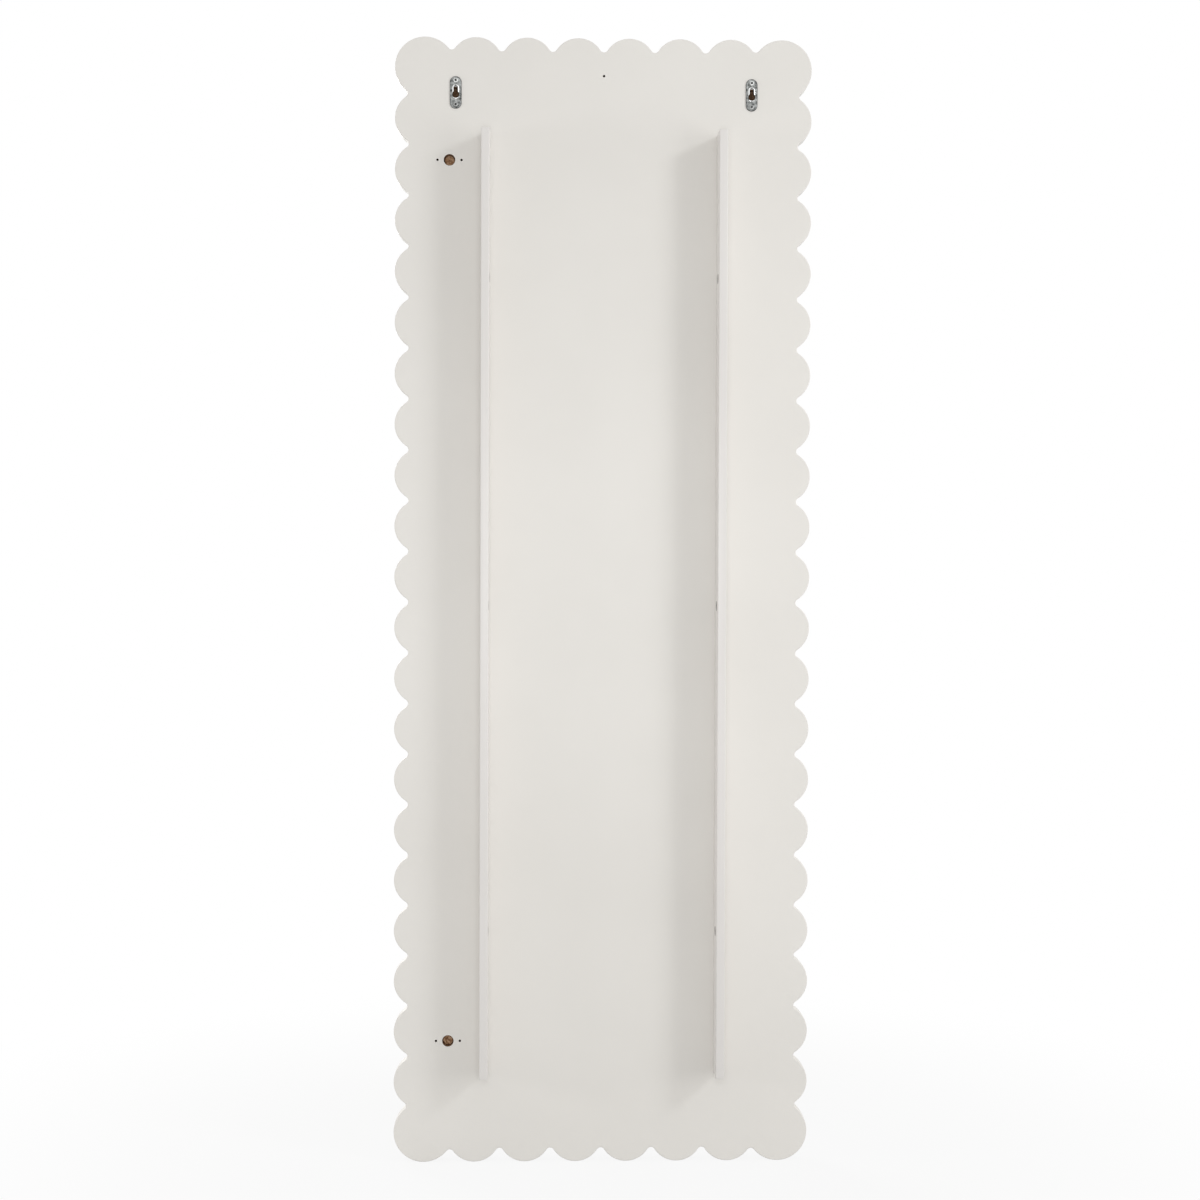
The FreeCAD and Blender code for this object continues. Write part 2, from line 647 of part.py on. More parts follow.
def make_hanger_form():
    """A stamped keyhole plate, with y = 0 on the panel and its middle at the origin."""
    half = "hanger_length / 2 - hanger_width / 2"
    ends = [rod(f"plate_end_{sign}", "0", "0", f"{sign} * ({half})", "hanger_width",
                "hanger_thickness", TO_BACK) for sign in (-1, 1)]
    middle = box("plate_middle", "-hanger_width / 2", "0", f"-({half})",
                 "hanger_width", "hanger_thickness", f"2 * ({half})")
    rim = keyhole("keyhole_rim", "boss_margin", "0", "hanger_thickness + boss_height")
    plate = doc.addObject("Part::MultiFuse", "plate_solid")
    plate.Shapes = [*ends, middle, rim]
    plate.Refine = True

    through = "hanger_thickness + boss_height + 2 * cut_over"
    hole = keyhole("keyhole_cut", "0", "-cut_over", through)
    holes = [rod(f"plate_hole_{sign}", "0", "-cut_over", f"{sign} * screw_spacing / 2",
                 "pilot_diameter + 2 * plate_hole_play", through, TO_BACK) for sign in (-1, 1)]
    return boolean("Cut", "hanger_form", plate, group("plate_cuts", [hole, *holes]))


def make_screw_form():
    """A pan head screw along its own z axis, with z = 0 on top of its head."""
    body = new_body("screw_form")
    head = "screw_head_diameter / 2"
    shank = "pilot_diameter / 2 - pilot_play"
    under = "-screw_head_height"
    tip = "-(screw_head_height + hanger_thickness + pilot_depth - pilot_play)"
    profile = sketch(body, "profile", "XZ_Plane")
    draw_outline(profile, (
        ("0", tip), (shank, f"screw_point + {tip}"), (shank, under), (head, under),
        (head, "0"), ("0", "0")))
    turned(body, "Revolution", profile, "360")
    soften(body, "Fillet", "head", lambda edge: lies_on(edge, "Z", 0), Radius="screw_head_fillet")
    cut_cross(body, "screw")
    return body


def make_hanger(side, sign):
    """One keyhole plate and its two screws."""
    x = f"{sign} * hanger_x"
    plate = group(f"keyhole_hanger_{side}", [hanger_form])
    node(place(plate, x, "rear_y", "hanger_z"), f"keyhole_hanger_{side}")
    screws = []
    for end, end_sign in ENDS:
        screw = group(f"screw_{side}_{end}", [screw_form])
        y = "rear_y + hanger_thickness + screw_head_height"
        z = f"hanger_z + {end_sign} * screw_spacing / 2"
        screws.append(place(screw, x, y, z, TO_BACK))
    node(group(f"hanger_screws_{side}", screws), f"hanger_screws_{side}")


def check_document():
    """Stop if any object failed or any sub-part has no valid shape."""
    doc.recompute()
    for item in doc.Objects:
        if "Invalid" in item.State or "Error" in item.State:
            raise ValueError(f"{item.Name} failed: {item.State}")
    for item in nodes:
        if item.Shape.isNull() or not item.Shape.isValid() or not item.Shape.Solids:
            raise ValueError(f"{item.Label} has no valid solid")


def write_parts():
    """Write each sub-part to its own file."""
    os.makedirs("parts", exist_ok=True)
    for item in nodes:
        item.Shape.exportStep(f"parts/{item.Label}.step")
        limits = item.Shape.BoundBox
        print(f"{item.Label}: {len(item.Shape.Solids)} solids, {item.Shape.Volume / 1000:.2f} cm3, "
              f"{limits.XLength:.1f} x {limits.YLength:.1f} x {limits.ZLength:.1f} mm")


fill_sheet()
scalloped_board = make_board()
make_panel(scalloped_board)
make_frame(scalloped_board)
make_mirror()
cam_form = make_cam_form()
bolt_form = make_bolt_form()
hanger_form = make_hanger_form()
screw_form = make_screw_form()
for name, direction in SIDES:
    make_batten(name, direction)
    make_cam_joints(name, direction)
    make_hanger(name, direction)
check_document()
write_parts()
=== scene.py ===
import json
import logging
import math
from dataclasses import dataclass, field
from enum import Enum, IntEnum
from typing import Iterable, Sequence, Union

import bmesh
import bpy
from mathutils import Matrix, Vector


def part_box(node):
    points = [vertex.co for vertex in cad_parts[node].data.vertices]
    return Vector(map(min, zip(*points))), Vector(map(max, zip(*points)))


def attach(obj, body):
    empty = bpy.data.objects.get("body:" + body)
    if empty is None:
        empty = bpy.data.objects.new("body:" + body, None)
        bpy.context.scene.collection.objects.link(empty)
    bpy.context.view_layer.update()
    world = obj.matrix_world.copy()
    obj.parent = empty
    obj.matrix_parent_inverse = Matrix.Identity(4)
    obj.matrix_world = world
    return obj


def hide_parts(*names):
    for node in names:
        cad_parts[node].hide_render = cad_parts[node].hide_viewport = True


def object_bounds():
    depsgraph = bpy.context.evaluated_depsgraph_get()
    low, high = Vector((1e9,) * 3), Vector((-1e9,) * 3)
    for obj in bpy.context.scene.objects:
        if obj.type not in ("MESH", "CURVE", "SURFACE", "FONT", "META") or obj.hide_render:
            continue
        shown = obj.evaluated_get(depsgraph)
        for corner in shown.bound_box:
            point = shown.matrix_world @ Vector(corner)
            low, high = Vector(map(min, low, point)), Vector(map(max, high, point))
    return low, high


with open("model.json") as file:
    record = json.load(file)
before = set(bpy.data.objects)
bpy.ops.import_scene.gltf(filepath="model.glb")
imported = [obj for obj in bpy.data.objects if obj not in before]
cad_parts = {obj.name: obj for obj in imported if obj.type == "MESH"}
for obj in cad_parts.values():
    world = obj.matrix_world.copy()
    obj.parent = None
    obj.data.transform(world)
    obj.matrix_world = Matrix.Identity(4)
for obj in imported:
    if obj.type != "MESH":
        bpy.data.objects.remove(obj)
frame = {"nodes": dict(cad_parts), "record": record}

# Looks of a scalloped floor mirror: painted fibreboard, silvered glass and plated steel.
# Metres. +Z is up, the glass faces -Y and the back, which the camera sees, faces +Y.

LOG = logging.getLogger("scalloped_mirror")
CAD_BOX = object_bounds()
MM = 0.001
ROOT = "mirror"
# Name of the mesh value that holds wear and burn, and painted shade and painted highlight.
WEAR_AND_PAINTED_LIGHT = "rubbed"
SHARP_ANGLE = math.radians(32.0)
SAME_POINT = 1e-7
WHITE = (1.0, 1.0, 1.0)
UP, DOWN = (0, 0, 1), (0, 0, -1)
BACK, FRONT = (0, 1, 0), (0, -1, 0)

Colour = tuple[float, float, float]
Place = tuple[float, float, float]
Station = tuple[float, float, float]
Point = tuple[float, float]
Range = tuple[float, float]
Ring = list[bmesh.types.BMVert]
Value = Union["Socket", float]


class Way(Enum):
    """A way along an axis. Its value is its sign there."""

    @property
    def word(self) -> str:
        """The way's name as the frame's nodes spell it."""
        return self.name.lower()


class Side(Way):
    """The two sides as seen from the glass, along X."""

    LEFT = -1
    RIGHT = 1


class End(Way):
    """The two ends, along Z."""

    TOP = 1
    BOTTOM = -1


class Level(Enum):
    """The cam locks along a batten."""

    LOWER = "lower"
    MIDDLE = "middle"
    UPPER = "upper"


class Slot(Enum):
    """The record's material slots."""

    BOARD = "painted_board"
    STEEL = "plated_steel"


class Coat(IntEnum):
    """The materials of a drilled board, by their number on the piece."""

    PAINT = 0
    BARE = 1


def middle_of(node: str) -> Place:
    """The middle of a node's box."""
    low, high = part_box(node)
    return tuple((start + end) / 2 for start, end in zip(low, high))


class Socket:
    """A shader value. Arithmetic on it adds Math nodes to its graph."""

    def __init__(self, graph: "Graph", output: bpy.types.NodeSocket) -> None:
        """Wrap one output of a node."""
        self.graph = graph
        self.output = output

    def _math(self, operation: str, first: Value, second: Value) -> "Socket":
        """The result of one Math node on two values."""
        return self.graph.node("ShaderNodeMath", {"operation": operation}, {0: first, 1: second})

    def __add__(self, other: Value) -> "Socket":
        """This plus a value."""
        return self._math("ADD", self, other)

    def __radd__(self, other: Value) -> "Socket":
        """A value plus this."""
        return self._math("ADD", other, self)

    def __sub__(self, other: Value) -> "Socket":
        """This minus a value."""
        return self._math("SUBTRACT", self, other)

    def __rsub__(self, other: Value) -> "Socket":
        """A value minus this."""
        return self._math("SUBTRACT", other, self)

    def __mul__(self, other: Value) -> "Socket":
        """This times a value."""
        return self._math("MULTIPLY", self, other)

    def __rmul__(self, other: Value) -> "Socket":
        """A value times this."""
        return self._math("MULTIPLY", other, self)

    def __abs__(self) -> "Socket":
        """This without its sign."""
        return self._math("ABSOLUTE", self, 0.0)

    def __or__(self, other: Value) -> "Socket":
        """The larger of this and a value, for joining two masks."""
        return self._math("MAXIMUM", self, other)

    def rise(self, low: float, high: float) -> "Socket":
        """A smooth step from 0 where this is low to 1 where it is high."""
        limits = {"Value": self, "From Min": low, "From Max": high}
        return self.graph.node("ShaderNodeMapRange", {"interpolation_type": "SMOOTHSTEP"}, limits)


class Graph:
    """The nodes of one material or of the world."""

    MIX_FACTOR, MIX_FIRST, MIX_SECOND, MIX_RESULT = 0, 6, 7, 2

    def __init__(self, tree: bpy.types.NodeTree) -> None:
        """Start with an empty node tree."""
        self.tree = tree
        tree.nodes.clear()

    def node(self, kind: str, settings: dict | None = None, sockets: dict | None = None,
             output: int | str = 0) -> Socket | None:
        """Any node.

        Args:
            kind: The node's type.
            settings: Its settings, set first. A ramp's stops are given as "stops".
            sockets: Values or links for its inputs, by name or number.
            output: Which output to return.

        Returns:
            That output, or nothing for a node without outputs.
        """
        made = self.tree.nodes.new(kind)
        for name, setting in (settings or {}).items():
            if name == "stops":
                self._set_stops(made.color_ramp, setting)
            else:
                setattr(made, name, setting)
        for name, given in (sockets or {}).items():
            target = made.inputs[name]
            if isinstance(given, Socket):
                self.tree.links.new(given.output, target)
            elif target.type == "RGBA":
                target.default_value = (*given, 1.0)
            else:
                target.default_value = given
        return Socket(self, made.outputs[output]) if made.outputs else None

    @staticmethod
    def _set_stops(ramp: bpy.types.ColorRamp, stops: Sequence[tuple[float, Colour]]) -> None:
        """Set the stops of a ramp.

        Args:
            ramp: The ramp, which has two stops already.
            stops: Place and colour of each stop, in order.
        """
        while len(ramp.elements) < len(stops):
            ramp.elements.new(1.0)
        for element, (place, colour) in zip(ramp.elements, stops):
            element.position = place
            element.color = (*colour, 1.0)

    def where(self) -> Socket:
        """The point on the object, in metres."""
        return self.node("ShaderNodeTexCoord", output="Object")

    def stretched(self, x: float, y: float, z: float) -> Socket:
        """The point on the object with each axis scaled by its own factor."""
        return self.node("ShaderNodeVectorMath", {"operation": "MULTIPLY"},
                         {0: self.where(), 1: (x, y, z)})

    def axis(self, name: str) -> Socket:
        """One coordinate of the point on the object, in metres."""
        return self.node("ShaderNodeSeparateXYZ", sockets={0: self.where()}, output=name)

    def noise(self, scale: float, detail: float = 2.0, where: Socket | None = None) -> Socket:
        """Noise from 0 to 1 with so many features to a metre and so many finer layers, at a point."""
        sockets = {"Vector": where or self.where(), "Scale": scale, "Detail": detail}
        return self.node("ShaderNodeTexNoise", sockets=sockets)

    def cells(self, scale: float) -> Socket:
        """A crystal pattern.

        Args:
            scale: Cells to a metre.

        Returns:
            A value from 0 to 1 that each cell has to itself.
        """
        sockets = {"Vector": self.where(), "Scale": scale}
        colour = self.node("ShaderNodeTexVoronoi", sockets=sockets, output="Color")
        return self.node("ShaderNodeSeparateColor", sockets={0: colour})

    def rubbed(self) -> Socket:
        """A point's value from the mesh, up to 1: wear, burn, painted shade and painted highlight.
        Below 0 it is grime and painted shade.
        """
        return self.node("ShaderNodeAttribute", {"attribute_name": WEAR_AND_PAINTED_LIGHT}, output="Fac")

    def seen(self) -> Socket:
        """Tell the rays that show a surface from those that only carry its light.

        Returns:
            1 for a ray from the camera, a reflection or a pane, and 0 for any other.
        """
        camera, glossy, through = (self.node("ShaderNodeLightPath", output=f"Is {name} Ray")
                                   for name in ("Camera", "Glossy", "Transmission"))
        return camera | glossy | through

    def blend(self, mask: Value, first: Socket | Colour, second: Socket | Colour) -> Socket:
        """A colour between two: the first where the mask is 0 and the second where it is 1."""
        sockets = {self.MIX_FACTOR: mask, self.MIX_FIRST: first, self.MIX_SECOND: second}
        return self.node("ShaderNodeMix", {"data_type": "RGBA"}, sockets, self.MIX_RESULT)

    def ramp(self, value: Socket, *stops: tuple[float, Colour]) -> Socket:
        """A colour read off a ramp of stops at a value."""
        return self.node("ShaderNodeValToRGB", {"stops": stops}, {0: value})

    def bump(self, height: Socket, depth: float) -> Socket:
        """A normal from a height of 0 to 1, where 1 is so many metres deep."""
        return self.node("ShaderNodeBump", sockets={"Height": height, "Distance": depth})

    def principled(self, **sockets: Socket | Colour | float) -> Socket:
        """The main shader.

        Args:
            sockets: Values or links for its inputs, named in words joined by underscores.

        Returns:
            The shader.
        """
        names = {name.replace("_", " ").title().replace("Ior", "IOR"): given
                 for name, given in sockets.items()}
        return self.node("ShaderNodeBsdfPrincipled", sockets=names)


@dataclass(frozen=True)
class Finish:
    """A surface finish. Each kind adds its own shading."""

    name: str

    def shade(self, graph: Graph) -> Socket:
        """Add the finish's nodes and return its shader."""
        raise NotImplementedError

    def material(self) -> bpy.types.Material:
        """Make the material.

        Returns:
            The material, named as the finish is.
        """
        made = bpy.data.materials.new(self.name)
        made.use_nodes = True
        graph = Graph(made.node_tree)
        graph.node("ShaderNodeOutputMaterial", sockets={"Surface": self.shade(graph)})
        return made


@dataclass(frozen=True)
class SatinPaint(Finish):
    """Sprayed satin paint on fibreboard: broad tone drift, orange peel, and edges darkened as worn
    paint and painted edge shade.
    """

    light: Colour = (0.795, 0.773, 0.738)
    deep: Colour = (0.770, 0.748, 0.713)
    thin: Colour = (0.640, 0.600, 0.545)
    drift_scale: float = 3.5
    drift_range: Range = (0.3, 0.7)
    scuff_scale: float = 140.0
    scuff_range: Range = (0.30, 0.75)
    scuff_share: float = 0.75
    haze_scale: float = 30.0
    fibre_scale: float = 1500.0
    peel_scale: float = 380.0
    peel_share: float = 0.75
    peel_depth: float = 0.035 * MM
    least_rough: float = 0.33
    peel_rough: float = 0.12
    haze_rough: float = 0.06
    scuff_rough: float = 0.10
    specular: float = 0.42

    def shade(self, graph: Graph) -> Socket:
        """Add the paint's nodes.

        Args:
            graph: The material's nodes.

        Returns:
            The shader.
        """
        drift = graph.noise(self.drift_scale, detail=3.0).rise(*self.drift_range)
        haze = graph.noise(self.haze_scale, detail=4.0)
        peel = graph.noise(self.peel_scale)
        fibre = graph.noise(self.fibre_scale, detail=3.0)
        # Edges darken where the mesh marks them: worn paint, and painted shade along the rounded
        # rims.
        patches = graph.rubbed() * graph.noise(self.scuff_scale, detail=5.0)
        edge_wear_and_shade = patches.rise(*self.scuff_range)
        tone = graph.blend(drift, self.deep, self.light)
        colour = graph.blend(edge_wear_and_shade * self.scuff_share, tone, self.thin)
        roughness = (self.least_rough + self.peel_rough * peel + self.haze_rough * haze
                     + self.scuff_rough * edge_wear_and_shade)
        height = self.peel_share * peel + (1.0 - self.peel_share) * fibre
        return graph.principled(base_color=colour, roughness=roughness,
                                normal=graph.bump(height, self.peel_depth),
                                specular_ior_level=self.specular)


@dataclass(frozen=True)
class BareFibreboard(Finish):
    """Drilled fibreboard: short pressed fibres, darkened by cutter burn and by painted shade where
    the mesh marks it.
    """

    dark: Colour = (0.210, 0.105, 0.050)
    body: Colour = (0.480, 0.285, 0.160)
    pale: Colour = (0.680, 0.470, 0.310)
    burnt: Colour = (0.040, 0.022, 0.014)
    dark_end: float = 0.41
    body_middle: float = 0.50
    pale_start: float = 0.59
    clump_scale: float = 330.0
    clump_share: float = 0.6
    fibre_scale: float = 1300.0
    fibre_depth: float = 0.25 * MM
    least_rough: float = 0.82
    clump_rough: float = 0.1
    specular: float = 0.2

    def shade(self, graph: Graph) -> Socket:
        """Add the fibreboard's nodes.

        Args:
            graph: The material's nodes.

        Returns:
            The shader.
        """
        clump = graph.noise(self.clump_scale, detail=3.0)
        strand = graph.noise(self.fibre_scale, detail=3.0)
        fibre = self.clump_share * clump + (1.0 - self.clump_share) * strand
        fresh = graph.ramp(fibre, (self.dark_end, self.dark), (self.body_middle, self.body),
                           (self.pale_start, self.pale))
        # Towards the dark colour where the mesh's value is high: cutter burn, and painted shade in
        # narrow holes, round hollow rims and under the keyhole plates.
        colour = graph.blend(graph.rubbed(), fresh, self.burnt)
        roughness = self.least_rough + self.clump_rough * clump
        return graph.principled(base_color=colour, roughness=roughness,
                                normal=graph.bump(fibre, self.fibre_depth),
                                specular_ior_level=self.specular)


@dataclass(frozen=True)
class SilveredGlass(Finish):
    """Float glass with silver behind it, and a ground green edge outside a border."""

    half_width: float
    middle: float
    half_height: float
    silver: Colour = (0.850, 0.875, 0.862)
    ground: Colour = (0.300, 0.420, 0.360)
    border: Range = (-1.2 * MM, -0.9 * MM)
    polish: float = 0.012
    ground_rough: float = 0.40
    drift_scale: float = 6.0
    wave_scale: float = 2.2
    wave_depth: float = 0.02 * MM

    def shade(self, graph: Graph) -> Socket:
        """Add the glass's nodes.

        Args:
            graph: The material's nodes.

        Returns:
            The shader.
        """
        beside = (abs(graph.axis("X")) - self.half_width).rise(*self.border)
        above = (abs(graph.axis("Z") - self.middle) - self.half_height).rise(*self.border)
        edge = beside | above
        drift = graph.noise(self.drift_scale)
        wave = graph.noise(self.wave_scale, detail=1.0)
        colour = graph.blend(edge, self.silver, self.ground)
        roughness = self.polish + self.polish * drift + self.ground_rough * edge
        return graph.principled(base_color=colour, metallic=1.0 - edge, roughness=roughness,
                                normal=graph.bump(wave, self.wave_depth))


@dataclass(frozen=True)
class PlatedSteel(Finish):
    """Stamped steel with a zinc plating: small crystals, dull flats painted dark as a dim room's
    reflection, rims painted bright as highlights, and grime and painted shade on hole walls and
    edges.
    """

    # The dull and clear tones are kept dark to paint in the reflection of a dimmer room; the bright
    # tone is a painted highlight on the rims, and the dark tone is grime and painted shade.
    dull: Colour = (0.060, 0.064, 0.062)
    clear: Colour = (0.450, 0.462, 0.454)
    bright: Colour = (0.900, 0.905, 0.900)
    dirt: Colour = (0.030, 0.030, 0.030)
    crystals: float = 400.0
    crystal_share: float = 0.5
    cloud_scale: float = 260.0
    cloud_range: Range = (0.35, 0.65)
    scratch_scale: float = 900.0
    scratch_stretch: Place = (6.0, 1.0, 0.35)
    scratch_share: float = 0.6
    rim_range: Range = (0.30, 0.85)
    relief: float = 0.02 * MM
    flat_rough: float = 0.36
    crystal_rough: float = 0.16
    scratch_rough: float = 0.10
    rim_polish: float = 0.22

    def shade(self, graph: Graph) -> Socket:
        """Add the plating's nodes.

        Args:
            graph: The material's nodes.

        Returns:
            The shader.
        """
        crystal = graph.cells(self.crystals)
        cloud = graph.noise(self.cloud_scale, detail=3.0).rise(*self.cloud_range)
        scratch = graph.noise(self.scratch_scale, detail=3.0,
                              where=graph.stretched(*self.scratch_stretch))
        # Painted highlight wherever the mesh marks the rim bright.
        rim = graph.rubbed().rise(*self.rim_range)
        bloom = self.crystal_share * crystal + (1.0 - self.crystal_share) * cloud
        flat = graph.blend(bloom, self.dull, self.clear)
        clean = graph.blend(rim, flat, self.bright)
        colour = graph.blend(self._dirt(graph), clean, self.dirt)
        roughness = (self.flat_rough + self.crystal_rough * crystal + self.scratch_rough * scratch
                     - self.rim_polish * rim)
        height = self.scratch_share * scratch + (1.0 - self.scratch_share) * crystal
        return graph.principled(base_color=colour, metallic=1.0, roughness=roughness,
                                normal=graph.bump(height, self.relief))

    def _dirt(self, graph: Graph) -> Socket:
        """Grime and painted shade where the mesh's value is below 0, from 0 to 1."""
        return (0.0 - graph.rubbed()).rise(0.0, 1.0)


@dataclass(frozen=True)
class PlatedScrews(PlatedSteel):
    """Plated screws with grime and painted shade in and around the driver recess of each head."""

    screw_x: float = 0.0
    middle_z: float = 0.0
    half_spacing: float = 0.0
    crown_y: float = 0.0
    recess_radius: float = 2.1 * MM
    recess_core: float = 0.7
    recess_lip: float = 0.2 * MM
    recess_depth: float = 0.5 * MM
    recess_soil: float = 0.75
    lower_dirt: float = 0.45
    lower_fade: float = 1.0 * MM

    def _dirt(self, graph: Graph) -> Socket:
        """Grime and painted shade at each recess, and a darker tone all over the lower screw.

        Args:
            graph: The material's nodes.

        Returns:
            The darkening, from 0 to 1.
        """
        height = graph.axis("Z") - self.middle_z
        beside = abs(graph.axis("X")) - self.screw_x
        above = abs(height) - self.half_spacing
        away = beside * beside + above * above
        # A dark centre at each driver recess: grime, and painted shade in the recess.
        core = self.recess_core * self.recess_radius
        inside = 1.0 - away.rise(core ** 2, self.recess_radius ** 2)
        below = (self.crown_y - graph.axis("Y")).rise(self.recess_lip, self.recess_depth)
        # The lower screw is darker all over.
        lower = 1.0 - height.rise(-self.lower_fade, self.lower_fade)
        return inside * below | inside * self.recess_soil | lower * self.lower_dirt


@dataclass(frozen=True)
class CastZinc(Finish):
    """Zinc alloy as it comes out of the die: grey, soft-edged and slightly pitted."""

    dark: Colour = (0.150, 0.150, 0.147)
    pale: Colour = (0.330, 0.332, 0.325)
    cast_scale: float = 700.0
    pit_scale: float = 2600.0
    pit_range: Range = (0.55, 0.75)
    pit_share: float = 0.4
    relief: float = 0.06 * MM
    metal: float = 0.92
    least_rough: float = 0.42
    cast_rough: float = 0.2

    def shade(self, graph: Graph) -> Socket:
        """Add the casting's nodes.

        Args:
            graph: The material's nodes.

        Returns:
            The shader.
        """
        cast = graph.noise(self.cast_scale, detail=4.0)
        pit = graph.noise(self.pit_scale).rise(*self.pit_range)
        return graph.principled(base_color=graph.blend(cast, self.dark, self.pale),
                                metallic=self.metal,
                                roughness=self.least_rough + self.cast_rough * cast,
                                normal=graph.bump(cast - self.pit_share * pit, self.relief))


@dataclass(frozen=True)
class DowelWood(Finish):
    """Pale hardwood with grain along X."""

    early: Colour = (0.560, 0.380, 0.230)
    late: Colour = (0.400, 0.240, 0.130)
    grain_scale: float = 420.0
    grain_stretch: Place = (0.08, 1.0, 1.0)
    grain_range: Range = (0.35, 0.65)
    grain_depth: float = 0.05 * MM
    least_rough: float = 0.55
    grain_rough: float = 0.2

    def shade(self, graph: Graph) -> Socket:
        """Add the wood's nodes.

        Args:
            graph: The material's nodes.

        Returns:
            The shader.
        """
        grain = graph.noise(self.grain_scale, detail=6.0,
                            where=graph.stretched(*self.grain_stretch))
        colour = graph.blend(grain.rise(*self.grain_range), self.early, self.late)
        return graph.principled(base_color=colour,
                                roughness=self.least_rough + self.grain_rough * grain,
                                normal=graph.bump(grain, self.grain_depth))


@dataclass(frozen=True)
class PlainSheet(Finish):
    """A slim plastic or foam sheet with a fine grain."""

    low: Colour
    high: Colour
    grain_scale: float
    grain_depth: float
    least_rough: float
    grain_rough: float = 0.15

    def shade(self, graph: Graph) -> Socket:
        """Add the sheet's nodes.

        Args:
            graph: The material's nodes.

        Returns:
            The shader.
        """
        grain = graph.noise(self.grain_scale, detail=4.0)
        return graph.principled(base_color=graph.blend(grain, self.low, self.high),
                                roughness=self.least_rough + self.grain_rough * grain,
                                normal=graph.bump(grain, self.grain_depth))


@dataclass(frozen=True)
class WhiteFloor(Finish):
    """A floor that looks white and keeps a faint shadow near the object."""

    board: Colour = (0.52, 0.52, 0.52)
    glow: float = 0.89
    shadow_core: float = 0.39
    shadow_reach: float = 1.3

    def shade(self, graph: Graph) -> Socket:
        """Add the floor's nodes.

        Args:
            graph: The material's nodes.

        Returns:
            The shader.
        """
        lit = graph.node("ShaderNodeBsdfDiffuse", sockets={"Color": self.board})
        bright = graph.node("ShaderNodeEmission", sockets={"Color": WHITE, "Strength": 1.0})
        away = graph.node("ShaderNodeVectorMath", {"operation": "LENGTH"}, {0: graph.where()},
                          "Value").rise(self.shadow_core, self.shadow_reach)
        white = (self.glow + (1.0 - self.glow) * away) * graph.seen()
        return graph.node("ShaderNodeMixShader", sockets={0: white, 1: lit, 2: bright})


class Palette:
    """Every material of the mirror, made once."""

    def __init__(self) -> None:
        """Make the materials."""
        low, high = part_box("mirror_glass")
        hanger_x, _, hanger_z = middle_of("keyhole_hanger_right")
        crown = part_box("hanger_screws_right")[1]
        self.paint = SatinPaint("satin_paint").material()
        self.batten_paint = SatinPaint("batten_paint", light=(0.766, 0.742, 0.722),
                                       deep=(0.743, 0.719, 0.699), least_rough=0.24,
                                       peel_depth=0.015 * MM).material()
        self.fibreboard = BareFibreboard("bare_fibreboard").material()
        self.plate = PlatedSteel("plated_hanger").material()
        self.screw = PlatedScrews("plated_screw", dull=(0.40, 0.41, 0.40),
                                  clear=(0.86, 0.87, 0.86), crystals=1500.0,
                                  screw_x=hanger_x, middle_z=hanger_z,
                                  half_spacing=Hanger.screw_half, crown_y=crown.y).material()
        self.bolt = PlatedSteel("plated_bolt", crystals=1500.0).material()
        self.cam = CastZinc("die_cast_zinc").material()
        self.dowel = DowelWood("dowel_hardwood").material()
        self.film = PlainSheet("grey_film", low=(0.42, 0.44, 0.45), high=(0.50, 0.52, 0.53),
                               grain_scale=1800.0, grain_depth=0.02 * MM,
                               least_rough=0.45).material()
        self.tape = PlainSheet("white_foam", low=(0.70, 0.70, 0.68), high=(0.82, 0.82, 0.80),
                               grain_scale=2200.0, grain_depth=0.10 * MM,
                               least_rough=0.75).material()
        self.glass = SilveredGlass("silvered_glass", half_width=high.x,
                                   middle=(low.z + high.z) / 2,
                                   half_height=(high.z - low.z) / 2).material()


@dataclass(frozen=True)
class Arc:
    """A round stretch of an outline: it bulges if its sweep is positive and cuts in if not."""

    x: float
    y: float
    radius: float
    start: float
    sweep: float
    steps: int

    def points(self, inset: float) -> list[Point]:
        """Points along the arc.

        Args:
            inset: How far the outline is moved inwards.

        Returns:
            The points, both ends included.
        """
        radius = self.radius - math.copysign(inset, self.sweep)
        turns = [self.start + self.sweep * step / self.steps for step in range(self.steps + 1)]
        return [(self.x + radius * math.cos(turn), self.y + radius * math.sin(turn))
                for turn in turns]


def outline_points(arcs: Sequence[Arc], inset: float = 0.0) -> list[Point]:
    """Points of a closed outline.

    Args:
        arcs: Its arcs in anticlockwise order. Straight lines join their ends.
        inset: How far the outline is moved inwards.

    Returns:
        The points, none of them twice.
    """
    points = [point for arc in arcs for point in arc.points(inset)]
    return [point for index, point in enumerate(points)
            if math.dist(point, points[index - 1]) > SAME_POINT]


def circle(x: float, y: float, radius: float, steps: int) -> list[Point]:
    """Points of a circle."""
    return outline_points([Arc(x, y, radius, 0.0, math.tau, steps)])


def rectangle(half_x: float, middle_y: float, half_y: float) -> list[Point]:
    """Corners of a rectangle about x = 0, anticlockwise."""
    return [(-half_x, middle_y - half_y), (half_x, middle_y - half_y),
            (half_x, middle_y + half_y), (-half_x, middle_y + half_y)]


def rounded_rectangle(low: Point, high: Point, radii: Sequence[float], steps: int) -> list[Arc]:
    """Arcs of a rectangle with round corners.

    Args:
        low: Its lowest corner.
        high: Its highest corner.
        radii: Radius at each corner, anticlockwise from the lowest.
        steps: Steps to a corner.

    Returns:
        The arcs.
    """
    quarter = math.pi / 2
    corners = ((low[0], low[1]), (high[0], low[1]), (high[0], high[1]), (low[0], high[1]))
    inward = ((1, 1), (-1, 1), (-1, -1), (1, -1))
    return [Arc(x + dx * radius, y + dy * radius, radius, math.pi + quarter * index, quarter, steps)
            for index, ((x, y), (dx, dy), radius) in enumerate(zip(corners, inward, radii))]


def quarter_round(radius: float, steps: int) -> list[Point]:
    """Inset and rise of points along a rounded edge, from its wall to its face."""
    turns = [math.pi / 2 * step / steps for step in range(steps + 1)]
    return [(radius * (1 - math.cos(turn)), radius * math.sin(turn)) for turn in turns]


